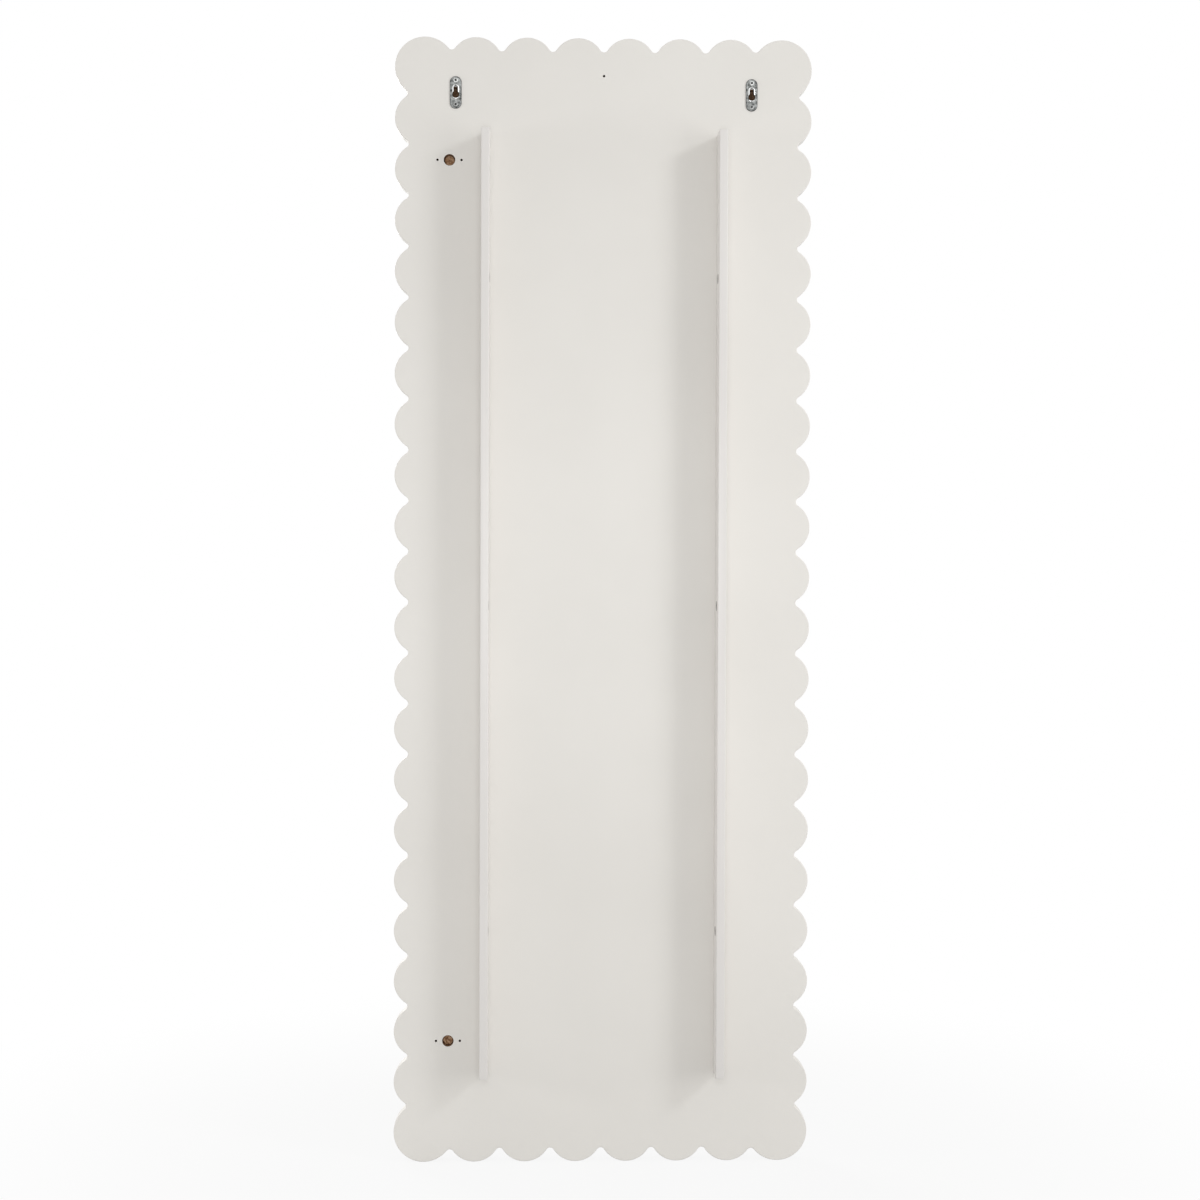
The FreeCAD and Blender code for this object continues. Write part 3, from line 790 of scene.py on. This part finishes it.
@dataclass
class Skin:
    """A closed mesh made of rings of points."""

    name: str
    mesh: bmesh.types.BMesh = field(default_factory=bmesh.new)

    def __post_init__(self) -> None:
        """Find or add the layer that holds each point's wear, burn, painted shade and painted
        highlight.
        """
        layers = self.mesh.verts.layers.float
        self.layer = layers.get(WEAR_AND_PAINTED_LIGHT) or layers.new(WEAR_AND_PAINTED_LIGHT)

    def ring(self, points: Iterable[Sequence[float]], rubbed: float = 0.0) -> Ring:
        """Add points.

        Args:
            points: Places of the points.
            rubbed: Their wear, burn, painted shade and painted highlight.

        Returns:
            The new vertices.
        """
        made = [self.mesh.verts.new(point) for point in points]
        for vertex in made:
            vertex[self.layer] = rubbed
        return made

    def flat_ring(self, points: Iterable[Point], y: float, rubbed: float = 0.0) -> Ring:
        """Add points given by x and z at one depth y."""
        return self.ring([(x, y, z) for x, z in points], rubbed)

    def shade_ring(self, ring: Ring, share: Sequence[float]) -> None:
        """Scale the wear and painted light of a ring's points, each by its own share."""
        for vertex, part in zip(ring, share):
            vertex[self.layer] *= part

    def bridge(self, rings: Sequence[Ring], finish: int = 0) -> None:
        """Join rings, each to the next, with quads.

        Args:
            rings: Closed rings with as many points each.
            finish: Which of the piece's materials the quads get.
        """
        for first, second in zip(rings, rings[1:]):
            for index in range(len(first)):
                before = index - 1
                quad = (first[before], first[index], second[index], second[before])
                self.mesh.faces.new(quad).material_index = finish

    def fill(self, rings: Sequence[Ring], facing: Sequence[float], finish: int = 0) -> None:
        """Close a flat area.

        Args:
            rings: The ring around it and those of its holes.
            facing: Which way it faces.
            finish: Which of the piece's materials it gets.
        """
        edges = []
        for ring in rings:
            for first, second in zip(ring, ring[1:] + ring[:1]):
                known = self.mesh.edges.get((first, second))
                edges.append(known or self.mesh.edges.new((first, second)))
        made = bmesh.ops.triangle_fill(self.mesh, use_beauty=True, edges=edges, normal=facing)
        for item in made["geom"]:
            if isinstance(item, bmesh.types.BMFace):
                item.material_index = finish

    def cut(self, place: Sequence[float], normal: Sequence[float]) -> None:
        """Cut off what lies beyond a plane and close the cut.

        Args:
            place: A point of the plane.
            normal: The way towards what is cut off.
        """
        everything = [*self.mesh.verts, *self.mesh.edges, *self.mesh.faces]
        done = bmesh.ops.bisect_plane(self.mesh, geom=everything, plane_co=place,
                                      plane_no=normal, clear_outer=True)
        edges = [item for item in done["geom_cut"] if isinstance(item, bmesh.types.BMEdge)]
        bmesh.ops.triangle_fill(self.mesh, use_beauty=True, edges=edges, normal=normal)

    def piece(self, finishes: Sequence[bpy.types.Material], node: str) -> None:
        """Make the piece and put it on the frame's root body.

        Args:
            finishes: Its materials.
            node: The frame's node that it stands for.
        """
        bmesh.ops.recalc_face_normals(self.mesh, faces=self.mesh.faces)
        for face in self.mesh.faces:
            face.smooth = True
        for edge in self.mesh.edges:
            edge.smooth = edge.calc_face_angle(0.0) < SHARP_ANGLE
        data = bpy.data.meshes.new(self.name)
        self.mesh.to_mesh(data)
        self.mesh.free()
        for finish in finishes:
            data.materials.append(finish)
        made = bpy.data.objects.new(self.name, data)
        bpy.context.scene.collection.objects.link(made)
        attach(made, ROOT)
        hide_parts(node)
        LOG.info("%s: %d faces", self.name, len(data.polygons))


@dataclass(frozen=True)
class ScallopOutline:
    """The outline of round lobes that the panel and the frame share, in x and z."""

    width: float
    height: float
    corner_radius: float = 44.0 * MM
    lobe_pitch: float = 74.5 * MM
    cusp_depth: float = 20.3 * MM
    cusp_fillet: float = 6.0 * MM
    lobe_step: float = math.radians(6.0)
    fillet_steps: int = 6
    seam: float = 0.3 * MM
    seam_rub: float = 0.4
    support: float = 1.5 * MM

    def _row(self, length: float) -> tuple[int, float, float]:
        """The lobes along one edge.

        Args:
            length: The edge's whole length.

        Returns:
            How many steps there are between its corner lobes, the step and the lobes' radius.
        """
        span = length - 2 * self.corner_radius
        count = round(span / self.lobe_pitch)
        pitch = span / count
        radius = (self.cusp_depth ** 2 + pitch ** 2 / 4) / (2 * self.cusp_depth) - self.cusp_fillet
        return count, pitch, radius

    def lobes(self) -> list[tuple[Vector, float]]:
        """Every lobe.

        Returns:
            Centre and radius of each, anticlockwise from the lower left corner.
        """
        corner = self.corner_radius
        end_count, end_pitch, end_radius = self._row(self.width)
        side_count, side_pitch, side_radius = self._row(self.height)
        edge_x, corner_x = self.width / 2 - side_radius, self.width / 2 - corner
        bottom = [(Vector((end_pitch * step - corner_x, end_radius)), end_radius)
                  for step in range(1, end_count)]
        right = [(Vector((edge_x, corner + side_pitch * step)), side_radius)
                 for step in range(1, side_count)]
        half = [(Vector((-corner_x, corner)), corner), *bottom,
                (Vector((corner_x, corner)), corner), *right]
        turned = [(Vector((-centre.x, self.height - centre.y)), radius) for centre, radius in half]
        return half + turned

    def arcs(self) -> list[Arc]:
        """The lobes and the small hollows between them.

        Returns:
            Their arcs in turn, anticlockwise.
        """
        lobes = self.lobes()
        hollows = []
        for index, (centre, radius) in enumerate(lobes):
            ahead, ahead_radius = lobes[(index + 1) % len(lobes)]
            step = ahead - centre
            reach, ahead_reach = radius + self.cusp_fillet, ahead_radius + self.cusp_fillet
            along = (step.length_squared + reach ** 2 - ahead_reach ** 2) / (2 * step.length)
            outward = Vector((step.y, -step.x)).normalized()
            off = math.sqrt(reach ** 2 - along ** 2)
            hollows.append(centre + step.normalized() * along + outward * off)
        made = []
        for index, (centre, radius) in enumerate(lobes):
            behind, hollow = hollows[index - 1], hollows[index]
            ahead = lobes[(index + 1) % len(lobes)][0]
            start, end = self._bearing(centre, behind), self._bearing(centre, hollow)
            sweep = (end - start) % math.tau
            made.append(Arc(centre.x, centre.y, radius, start, sweep,
                            math.ceil(sweep / self.lobe_step)))
            start, end = self._bearing(hollow, centre), self._bearing(hollow, ahead)
            made.append(Arc(hollow.x, hollow.y, self.cusp_fillet, start,
                            -((start - end) % math.tau), self.fillet_steps))
        return made

    @staticmethod
    def _bearing(start: Vector, end: Vector) -> float:
        """The direction from one point to another, as an angle."""
        return math.atan2(end.y - start.y, end.x - start.x)

    def wall(self, skin: Skin, seam_y: float, face_y: float, edge: float, steps: int) -> list[Ring]:
        """Add the wall around a board of this outline.

        Args:
            skin: The board's mesh.
            seam_y: Depth of the face that meets the other board.
            face_y: Depth of the face that shows.
            edge: Radius of the round edge at that face.
            steps: Steps along the round edge.

        Returns:
            The wall's rings, from the seam to the face.
        """
        way = math.copysign(1.0, face_y - seam_y)
        start = face_y - way * edge
        stations = [(self.seam, seam_y, self.seam_rub),
                    (0.0, seam_y + way * self.seam, self.seam_rub)]
        # Along the round edge the paint darkens most at its middle: wear, and painted edge shade.
        stations += [(inset, start + way * rise, math.sin(math.pi * rise / edge))
                     for inset, rise in quarter_round(edge, steps)]
        stations.append((edge + self.support, face_y, 0.0))
        arcs = self.arcs()
        rings = [skin.flat_ring(outline_points(arcs, inset), y, rubbed)
                 for inset, y, rubbed in stations]
        skin.bridge(rings)
        return rings


@dataclass(frozen=True)
class Drilling:
    """A blind round hole in a painted face: chipped paint at its lip, bare fibreboard inside,
    darkened as cutter burn and painted shade.
    """

    x: float
    z: float
    radius: float
    depth: float
    steps: int = 24
    lip: float = 0.3 * MM
    tip_slope: float = 0.6
    tip_flat: float = 0.1

    def carve(self, skin: Skin, face_y: float) -> Ring:
        """Add the hole's walls and floor.

        Args:
            skin: The mesh that the hole is in.
            face_y: Depth of the face that it is drilled into, from +Y.

        Returns:
            The ring of its mouth.
        """
        # The lip and the top of the wall are marked fully dark, and a twist drill's hole is dark all
        # the way down: chipped paint and cutter burn, and painted shade in the hole.
        edge = ((self.radius + 2 * self.lip, face_y, 0.0), (self.radius + self.lip, face_y, 1.0))
        painted = [self._ring(skin, *station) for station in edge]
        inside = [(self.radius, face_y - self.lip, 1.0), *self.inside(face_y - self.depth)]
        bare = [painted[-1], *(self._ring(skin, *station) for station in inside)]
        skin.bridge(painted, Coat.PAINT)
        skin.bridge(bare, Coat.BARE)
        skin.fill([bare[-1]], BACK, Coat.BARE)
        return painted[0]

    def inside(self, floor_y: float) -> list[Station]:
        """Radius, depth and darkness of the rings below the mouth of a twist drill's hole, all fully
        dark as painted shade.
        """
        tip_y = floor_y - self.tip_slope * self.radius
        return [(self.radius, floor_y, 1.0), (self.tip_flat * self.radius, tip_y, 1.0)]

    def _ring(self, skin: Skin, radius: float, y: float, rubbed: float) -> Ring:
        """One ring of the hole."""
        return skin.flat_ring(circle(self.x, self.z, radius, self.steps), y, rubbed)


@dataclass(frozen=True)
class CutterHollow(Drilling):
    """A wide hollow from a flat cutter: a groove round its floor and a pip in the middle."""

    steps: int = 48
    lip: float = 0.4 * MM
    rim: float = 1.2 * MM
    groove: float = 0.5 * MM
    slope_end: float = 1.6
    burn_end: float = 3.0
    pip: float = 1.1 * MM
    pip_flat: float = 0.2
    wall_burn: float = 0.35
    slope_burn: float = 0.4
    floor_burn: float = 0.0
    pip_burn: float = 0.5

    def inside(self, floor_y: float) -> list[Station]:
        """The hollow's profile.

        Args:
            floor_y: Depth of its floor.

        Returns:
            Radius, depth and darkness of the rings below the mouth: cutter burn and painted shade at
            the wall and groove, and painted shade on a floor under a plate.
        """
        return [(self.radius, floor_y + self.depth - self.rim, self.wall_burn),
                (self.radius, floor_y, self.wall_burn),
                (self.radius, floor_y - self.groove, 1.0),
                (self.radius - self.groove, floor_y - self.groove, 1.0),
                (self.radius - self.slope_end * self.groove, floor_y, self.slope_burn),
                (self.radius - self.burn_end * self.groove, floor_y, self.floor_burn),
                (self.pip, floor_y, self.floor_burn),
                (self.pip_flat * self.pip, floor_y - self.pip, self.pip_burn)]


@dataclass
class Panel:
    """The back panel: scalloped outline, round rear edge and every hole drilled from behind."""

    palette: Palette
    outline: ScallopOutline
    rear_round: float = 1.0 * MM
    round_steps: int = 6
    cover: float = 3.0 * MM
    bolt_radius: float = 2.6 * MM
    covered_burn: float = 0.65

    def drillings(self) -> list[Drilling]:
        """Every hole, placed by the frame's mounts, hangers and cams.

        Returns:
            The hollows, the screw holes and the bolt holes.
        """
        mounts = {mount["name"]: mount for mount in frame["record"]["mounts"]}
        hollow = mounts["landscape_hollow_top"]["dims"]
        radius, depth = hollow["r_mm"] * MM, hollow["length_mm"] * MM
        screws = mounts["landscape_plate_screws"]["dims"]
        pilot, half = screws["hole_r_mm"] * MM, screws["spacing_x_mm"] / 2 * MM
        low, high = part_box("back_panel")
        pilot_depth = high.y - low.y - self.cover

        hollows, pilots, bolts = [], [], []
        for end in End:
            x, _, z = mounts[f"landscape_hollow_{end.word}"]["pos_m"]
            hollows.append(CutterHollow(x, z, radius, depth))
            pilots += [(x - half, z), (x + half, z)]
        for side in Side:
            x, _, z = middle_of(f"keyhole_hanger_{side.word}")
            # Hollows under the keyhole plates get a darkened floor: painted shade of the plate over
            # them.
            hollows.append(CutterHollow(x, z, radius, depth, floor_burn=self.covered_burn))
            pilots += [(x, z - half), (x, z + half)]
        x, _, z = mounts["anti_tip_screw_hole"]["pos_m"]
        pilots.append((x, z))
        for side in Side:
            x, _, _ = middle_of(f"cam_bolts_{side.word}")
            bolts += [(x, middle_of(f"cam_{side.word}_{level.value}")[2]) for level in Level]
        return [*hollows, *(Drilling(x, z, pilot, pilot_depth) for x, z in pilots),
                *(Drilling(x, z, self.bolt_radius, pilot_depth) for x, z in bolts)]

    def build(self) -> None:
        """Make the panel."""
        low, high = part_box("back_panel")
        skin = Skin("painted_back_panel")
        rings = self.outline.wall(skin, low.y, high.y, self.rear_round, self.round_steps)
        mouths = [drilling.carve(skin, high.y) for drilling in self.drillings()]
        skin.fill([rings[-1], *mouths], BACK, Coat.PAINT)
        skin.fill([rings[0]], FRONT, Coat.PAINT)
        skin.piece([self.palette.paint, self.palette.fibreboard], "back_panel")


@dataclass
class FrontFrame:
    """The frame around the glass: two stiles and two rails cut from one scalloped ring."""

    palette: Palette
    outline: ScallopOutline
    front_round: float = 3.0 * MM
    round_steps: int = 8
    bevel: float = 3.0 * MM
    soft: float = 0.35 * MM
    soft_share: float = 0.3
    bevel_rub: float = 0.5
    glass_overlap: float = 8.0 * MM
    glass_play: float = 1.5 * MM
    joint_gap: float = 0.04 * MM

    def build(self) -> None:
        """Make the stiles and the rails."""
        ring = self._ring()
        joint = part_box("frame_rail_top")[1].x
        middle = self.outline.height / 2
        for side in Side:
            stile = Skin(f"painted_stile_{side.word}", ring.mesh.copy())
            stile.cut((side.value * (joint - self.joint_gap), 0, 0), (-side.value, 0, 0))
            stile.piece([self.palette.paint], f"frame_stile_{side.word}")
        for end in End:
            rail = Skin(f"painted_rail_{end.word}", ring.mesh.copy())
            for side in Side:
                rail.cut((side.value * (joint - 2 * self.joint_gap), 0, 0), (side.value, 0, 0))
            rail.cut((0, 0, middle), (0, 0, -end.value))
            rail.piece([self.palette.paint], f"frame_rail_{end.word}")
        ring.mesh.free()

    def _ring(self) -> Skin:
        """The whole frame, before it is cut into its sticks.

        Returns:
            Its mesh.
        """
        low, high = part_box("frame_stile_right")
        front, joint = low.y, high.y
        glass_low, glass_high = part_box("mirror_glass")
        skin = Skin("frame_ring")
        outer = self.outline.wall(skin, joint, front, self.front_round, self.round_steps)

        _, _, middle = middle_of("mirror_glass")
        half_x = glass_high.x - self.glass_overlap
        half_z = (glass_high.z - glass_low.z) / 2 - self.glass_overlap
        rebate = self.glass_overlap + self.glass_play
        ease = self.soft * self.soft_share
        steps = ((self.bevel + self.outline.support, front, 0.0),
                 (self.bevel + self.soft, front, self.bevel_rub),
                 (self.bevel - ease, front + ease, 1.0),
                 (self.soft, front + self.bevel - self.soft, self.bevel_rub),
                 (0.0, front + self.bevel + self.soft, self.bevel_rub),
                 (0.0, glass_low.y, 0.0),
                 (rebate, glass_low.y, 0.0),
                 (rebate, joint, 0.0))
        inner = [skin.flat_ring(rectangle(half_x + out, middle, half_z + out), y, rubbed)
                 for out, y, rubbed in steps]
        skin.bridge(inner)
        skin.fill([outer[-1], inner[0]], FRONT)
        skin.fill([outer[0], inner[-1]], BACK)
        return skin


@dataclass
class Batten:
    """A painted batten on edge, with cam bores in the face that looks at the other batten."""

    palette: Palette
    side: Side
    rear_round: float = 1.0 * MM
    foot_round: float = 0.5 * MM
    corner_steps: int = 5
    end_round: float = 0.45 * MM
    end_steps: int = 3
    side_rub: float = 0.15
    end_rub: float = 0.7
    bore_play: float = 0.2 * MM
    bore_depth: float = 10.0 * MM
    bore_lip: float = 0.2 * MM
    bore_steps: int = 48

    def build(self) -> None:
        """Make the batten."""
        node = f"batten_{self.side.word}"
        low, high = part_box(node)
        radii = (self.foot_round, self.foot_round, self.rear_round, self.rear_round)
        arcs = rounded_rectangle((low.x, low.y), (high.x, high.y), radii, self.corner_steps)
        skin = Skin(f"painted_{node}")

        edge = quarter_round(self.end_round, self.end_steps)
        bottom = [self._section(skin, arcs, inset, low.z + self.end_round - rise)
                  for inset, rise in reversed(edge)]
        top = [self._section(skin, arcs, inset, high.z - self.end_round + rise)
               for inset, rise in edge]
        skin.bridge(bottom)
        skin.bridge(top)
        skin.fill([bottom[0]], DOWN)
        skin.fill([top[-1]], UP)

        inner_x = low.x if self.side is Side.RIGHT else high.x
        lower, upper = bottom[-1], top[0]
        for index in range(len(lower)):
            corners = (lower[index - 1], lower[index], upper[index], upper[index - 1])
            flat = all(abs(corner.co.x - inner_x) < SAME_POINT for corner in corners[:2])
            if flat:
                mouths = [self._bore(skin, inner_x, level) for level in Level]
                skin.fill([list(corners), *mouths], (-self.side.value, 0, 0))
            else:
                skin.mesh.faces.new(corners)
        skin.piece([self.palette.batten_paint, self.palette.fibreboard], node)

    def _section(self, skin: Skin, arcs: Sequence[Arc], inset: float, z: float) -> Ring:
        """One ring of the batten at a height."""
        rubbed = self.side_rub if inset == 0 else self.end_rub
        return skin.ring([(x, y, z) for x, y in outline_points(arcs, inset)], rubbed)

    def _bore(self, skin: Skin, face_x: float, level: Level) -> Ring:
        """The hole for one cam.

        Args:
            skin: The batten's mesh.
            face_x: Place of the face that it is drilled into.
            level: Which cam it holds.

        Returns:
            The ring of its mouth.
        """
        cam = f"cam_{self.side.word}_{level.value}"
        low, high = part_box(cam)
        _, y, z = middle_of(cam)
        radius = (high.z - low.z) / 2 + self.bore_play
        into = self.side.value
        stations = ((radius + self.bore_lip, 0.0), (radius, self.bore_lip),
                    (radius, self.bore_depth))
        rings = [skin.ring([(face_x + into * depth, *point)
                            for point in circle(y, z, size, self.bore_steps)])
                 for size, depth in stations]
        skin.bridge(rings[:2], Coat.PAINT)
        skin.bridge(rings[1:], Coat.BARE)
        skin.fill([rings[-1]], (-into, 0, 0), Coat.BARE)
        return rings[0]


@dataclass
class Hanger:
    """A stamped keyhole plate: round edges and a raised, rolled rim around the keyhole."""

    palette: Palette
    side: Side
    thickness: float = 1.2 * MM
    entry_radius: float = 5.0 * MM
    entry_drop: float = 3.1 * MM
    entry_share: float = 0.7
    slot_half: float = 2.75 * MM
    slot_rise: float = 7.0 * MM
    shoulder: float = 2.6 * MM
    least_shoulder: float = 0.25 * MM
    edge_round: float = 0.45 * MM
    screw_hole: float = 2.0 * MM
    screw_half: float = 17.5 * MM
    slot_steps: int = 16
    shoulder_steps: int = 6
    entry_steps: int = 34
    edge_steps: int = 4
    round_steps: int = 28
    # Painted highlight along the keyhole's rim, and painted shade on the keyhole's wall and along the
    # plate's edge.
    end_wear: float = 0.42
    end_reach: float = 1.0 * MM
    entry_wear: float = 0.30
    crescent: float = 1.3 * MM
    crescent_start: float = 0.85
    edge_dirt: float = 0.9
    edge_wear: float = 0.4
    face_dirt: float = 0.4

    def _keyhole(self, x: float, z: float, margin: float) -> list[Point]:
        """Points of the keyhole's outline.

        Args:
            x: Middle of the plate.
            z: Middle of the plate.
            margin: How far outside the slot the outline lies. It is nearer to the entry.

        Returns:
            The points, anticlockwise.
        """
        entry, half = self.entry_radius + self.entry_share * margin, self.slot_half + margin
        fillet = max(self.shoulder - margin, self.least_shoulder)
        entry_z, slot_z = z - self.entry_drop, z + self.slot_rise
        rise = math.sqrt((entry + fillet) ** 2 - (half + fillet) ** 2)
        lean = math.atan2(rise, half + fillet)
        bend, bend_z = half + fillet, entry_z + rise
        return outline_points([
            Arc(x, slot_z, half, 0.0, math.pi, self.slot_steps),
            Arc(x - bend, bend_z, fillet, 0.0, -lean, self.shoulder_steps),
            Arc(x, entry_z, entry, math.pi - lean, math.pi + 2 * lean, self.entry_steps),
            Arc(x + bend, bend_z, fillet, math.pi + lean, -lean, self.shoulder_steps)])

    def _wear(self, beside: float, above: float, margin: float) -> float:
        """How bright the rim is painted as a highlight.

        Args:
            beside: Place on the plate, from its middle.
            above: Place on the plate, from its middle.
            margin: How far outside the hole the place lies.

        Returns:
            1 along the slot and under the entry, less at the slot's end and beside the entry.
        """
        if above > self.slot_rise:
            aside = min(abs(beside) / (self.slot_half + self.end_reach), 1.0)
            return self.end_wear + (1.0 - self.end_wear) * aside
        if above > 0.0:
            return 1.0
        low = -(above + self.entry_drop) / self.entry_radius
        under = low > self.crescent_start and margin < self.crescent
        return 1.0 if under else self.entry_wear

    @staticmethod
    def _rim(base: float, top: float, crest: float) -> list[Station]:
        """The pressed rim's profile.

        Args:
            base: Depth of the plate's back.
            top: Depth of its face.
            crest: Depth of the rim's crest.

        Returns:
            Margin outside the keyhole, depth, and painted light of each ring, from inside: painted
            shade below 0 down the keyhole's wall, painted highlight above 0 on the crest.
        """
        return [(0.0, base, -1.0),
                (0.0, crest - 0.5 * MM, -1.0),
                (0.12 * MM, crest - 0.15 * MM, -0.8),
                (0.45 * MM, crest, 0.5),
                (0.75 * MM, crest, 1.0),
                (1.25 * MM, crest - 0.02 * MM, 1.0),
                (1.75 * MM, crest - 0.25 * MM, 1.0),
                (2.1 * MM, crest - 0.65 * MM, 0.7),
                (2.45 * MM, top + 0.06 * MM, 0.1),
                (2.9 * MM, top, 0.0)]

    def _edge(self, base: float, top: float) -> list[Station]:
        """The plate's rolled edge.

        Args:
            base: Depth of the plate's back.
            top: Depth of its face.

        Returns:
            Inset, depth and painted light of each ring, from the back: painted shade below 0 along
            the plate's edge.
        """
        seat, start = self.edge_round / 3, top - self.edge_round
        return [(seat, base, -self.edge_dirt),
                (0.0, base + seat, -self.edge_dirt),
                *((inset, start + rise, self.edge_wear * rise / self.edge_round - self.edge_dirt)
                  for inset, rise in quarter_round(self.edge_round, self.edge_steps)),
                (2 * self.edge_round, top, -self.face_dirt),
                (3 * self.edge_round, top, 0.0)]

    def build(self) -> None:
        """Make the plate."""
        node = f"keyhole_hanger_{self.side.word}"
        low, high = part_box(node)
        x, _, z = middle_of(node)
        base, top = low.y, low.y + self.thickness
        skin = Skin(f"formed_hanger_{self.side.word}")

        rim = self._rim(base, top, high.y)
        rings = [skin.flat_ring(self._keyhole(x, z, margin), y, rubbed) for margin, y, rubbed in rim]
        # The crest's painted highlight is scaled round the keyhole.
        for ring, (margin, _, rubbed) in zip(rings, rim):
            if rubbed > 0.0:
                skin.shade_ring(ring, [self._wear(vertex.co.x - x, vertex.co.z - z, margin)
                                       for vertex in ring])
        skin.bridge(rings)

        radius = (high.x - low.x) / 2
        straight = (high.z - low.z) / 2 - radius
        stadium = [Arc(x, z + straight, radius, 0.0, math.pi, self.round_steps),
                   Arc(x, z - straight, radius, math.pi, math.pi, self.round_steps)]
        plate = [skin.flat_ring(outline_points(stadium, inset), y, rubbed)
                 for inset, y, rubbed in self._edge(base, top)]
        skin.bridge(plate)

        above, below = [], []
        for way in (-1, 1):
            hole = circle(x, z + way * self.screw_half, self.screw_hole, self.round_steps)
            above.append(skin.flat_ring(hole, top))
            below.append(skin.flat_ring(hole, base))
            skin.bridge([above[-1], below[-1]])
        skin.fill([plate[-1], rings[-1], *above], BACK)
        skin.fill([plate[0], rings[0], *below], FRONT)
        skin.piece([self.palette.plate], node)


@dataclass
class KeptNodes:
    """The frame's own pieces that stay as they are and get a finish."""

    palette: Palette

    def dress(self) -> None:
        """Give each kept piece its material."""
        for name, node in frame["nodes"].items():
            finish = self._finish(name)
            if finish is not None:
                node.material_slots[0].material = finish
                LOG.info("%s: %s", name, finish.name)

    def _finish(self, name: str) -> bpy.types.Material | None:
        """The material for a piece.

        Args:
            name: The piece's name.

        Returns:
            Its material, or nothing if another piece stands for it.
        """
        rules = (("corner_dowels", self.palette.dowel), ("mirror_glass", self.palette.glass),
                 ("mirror_safety_film", self.palette.film),
                 ("mirror_tape_strips", self.palette.tape), ("cam_bolts", self.palette.bolt),
                 ("cam_", self.palette.cam), ("hanger_screws", self.palette.screw))
        return next((finish for start, finish in rules if name.startswith(start)), None)


@dataclass(frozen=True)
class Lamp:
    """A square softbox that looks at the middle of the object."""

    name: str
    place: Place
    size: float
    watts: float
    colour: Colour = WHITE

    def build(self, scene: bpy.types.Scene) -> None:
        """Make the lamp.

        Args:
            scene: The scene that it goes into.
        """
        data = bpy.data.lights.new(self.name, "AREA")
        data.size = self.size
        data.energy = self.watts
        data.color = self.colour
        lamp = bpy.data.objects.new(self.name, data)
        lamp.location = self.place
        middle = (CAD_BOX[0] + CAD_BOX[1]) / 2
        lamp.rotation_euler = (middle - lamp.location).to_track_quat("-Z", "Y").to_euler()
        scene.collection.objects.link(lamp)


@dataclass
class Studio:
    """White floor, soft light and the camera."""

    ambient: float = 0.665
    ambient_colour: Colour = (1.0, 0.993, 0.970)
    lamps: tuple[Lamp, ...] = (
        Lamp("key_softbox", (-3.6, 2.38, 3.1), 0.9, 46.0, (0.965, 0.985, 1.0)),
        Lamp("side_softbox", (-2.6, 1.5, 0.9), 1.6, 18.0),
        Lamp("fill_softbox", (3.4, 0.68, 1.0), 0.7, 18.0),
        Lamp("rear_softbox", (0.06, 2.4, 0.95), 0.7, 10.0),
        Lamp("front_softbox", (1.8, -2.6, 2.0), 1.6, 54.0))
    floor_size: float = 60.0
    camera_place: Place = (0.0931, 2.9959, 0.8857)
    camera_aim: Place = (0.00345, -0.0105, 0.82877)
    camera_roll: float = math.radians(0.1874)
    camera_lens: float = 61.42
    camera_sensor: float = 36.0

    def build(self) -> None:
        """Make the world, the floor, the lamps and the camera."""
        scene = bpy.context.scene
        scene.view_settings.view_transform = "Standard"
        self._world(scene)
        self._floor(scene)
        for lamp in self.lamps:
            lamp.build(scene)
        self._camera(scene)

    def _world(self, scene: bpy.types.Scene) -> None:
        """Make a world that looks white and lights evenly.

        Args:
            scene: The scene that it is for.
        """
        scene.world = bpy.data.worlds.new("studio")
        scene.world.use_nodes = True
        graph = Graph(scene.world.node_tree)
        seen = graph.seen()
        colour = graph.blend(seen, self.ambient_colour, WHITE)
        strength = self.ambient + (1.0 - self.ambient) * seen
        shader = graph.node("ShaderNodeBackground", sockets={"Color": colour, "Strength": strength})
        graph.node("ShaderNodeOutputWorld", sockets={"Surface": shader})

    def _floor(self, scene: bpy.types.Scene) -> None:
        """Make the floor.

        Args:
            scene: The scene that it goes into.
        """
        half = self.floor_size / 2
        corners = [(x, y, 0.0) for x, y in rectangle(half, 0.0, half)]
        data = bpy.data.meshes.new("floor")
        data.from_pydata(corners, [], [range(len(corners))])
        data.materials.append(WhiteFloor("white_floor").material())
        floor = bpy.data.objects.new("floor", data)
        scene.collection.objects.link(floor)

    def _camera(self, scene: bpy.types.Scene) -> None:
        """Make the camera behind the mirror, level but for a small roll.

        Args:
            scene: The scene that it goes into.
        """
        data = bpy.data.cameras.new("camera")
        data.sensor_width = self.camera_sensor
        data.lens = self.camera_lens
        camera = bpy.data.objects.new("camera", data)
        place = Vector(self.camera_place)
        ahead = (Vector(self.camera_aim) - place).normalized()
        level = ahead.cross(Vector(UP)).normalized()
        up = level.cross(ahead)
        right = level * math.cos(self.camera_roll) + up * math.sin(self.camera_roll)
        axes = Matrix((right, right.cross(ahead), -ahead)).transposed()
        camera.matrix_world = Matrix.Translation(place) @ axes.to_4x4()
        scene.collection.objects.link(camera)
        scene.camera = camera


def main() -> None:
    """Build every sub-assembly, then the studio."""
    logging.basicConfig(level=logging.INFO, format="%(message)s")
    low, high = CAD_BOX
    palette = Palette()
    outline = ScallopOutline(high.x - low.x, high.z - low.z)
    Panel(palette, outline).build()
    FrontFrame(palette, outline).build()
    for side in Side:
        Batten(palette, side).build()
        Hanger(palette, side).build()
    KeptNodes(palette).dress()
    Studio().build()


if __name__ == "__main__":
    main()
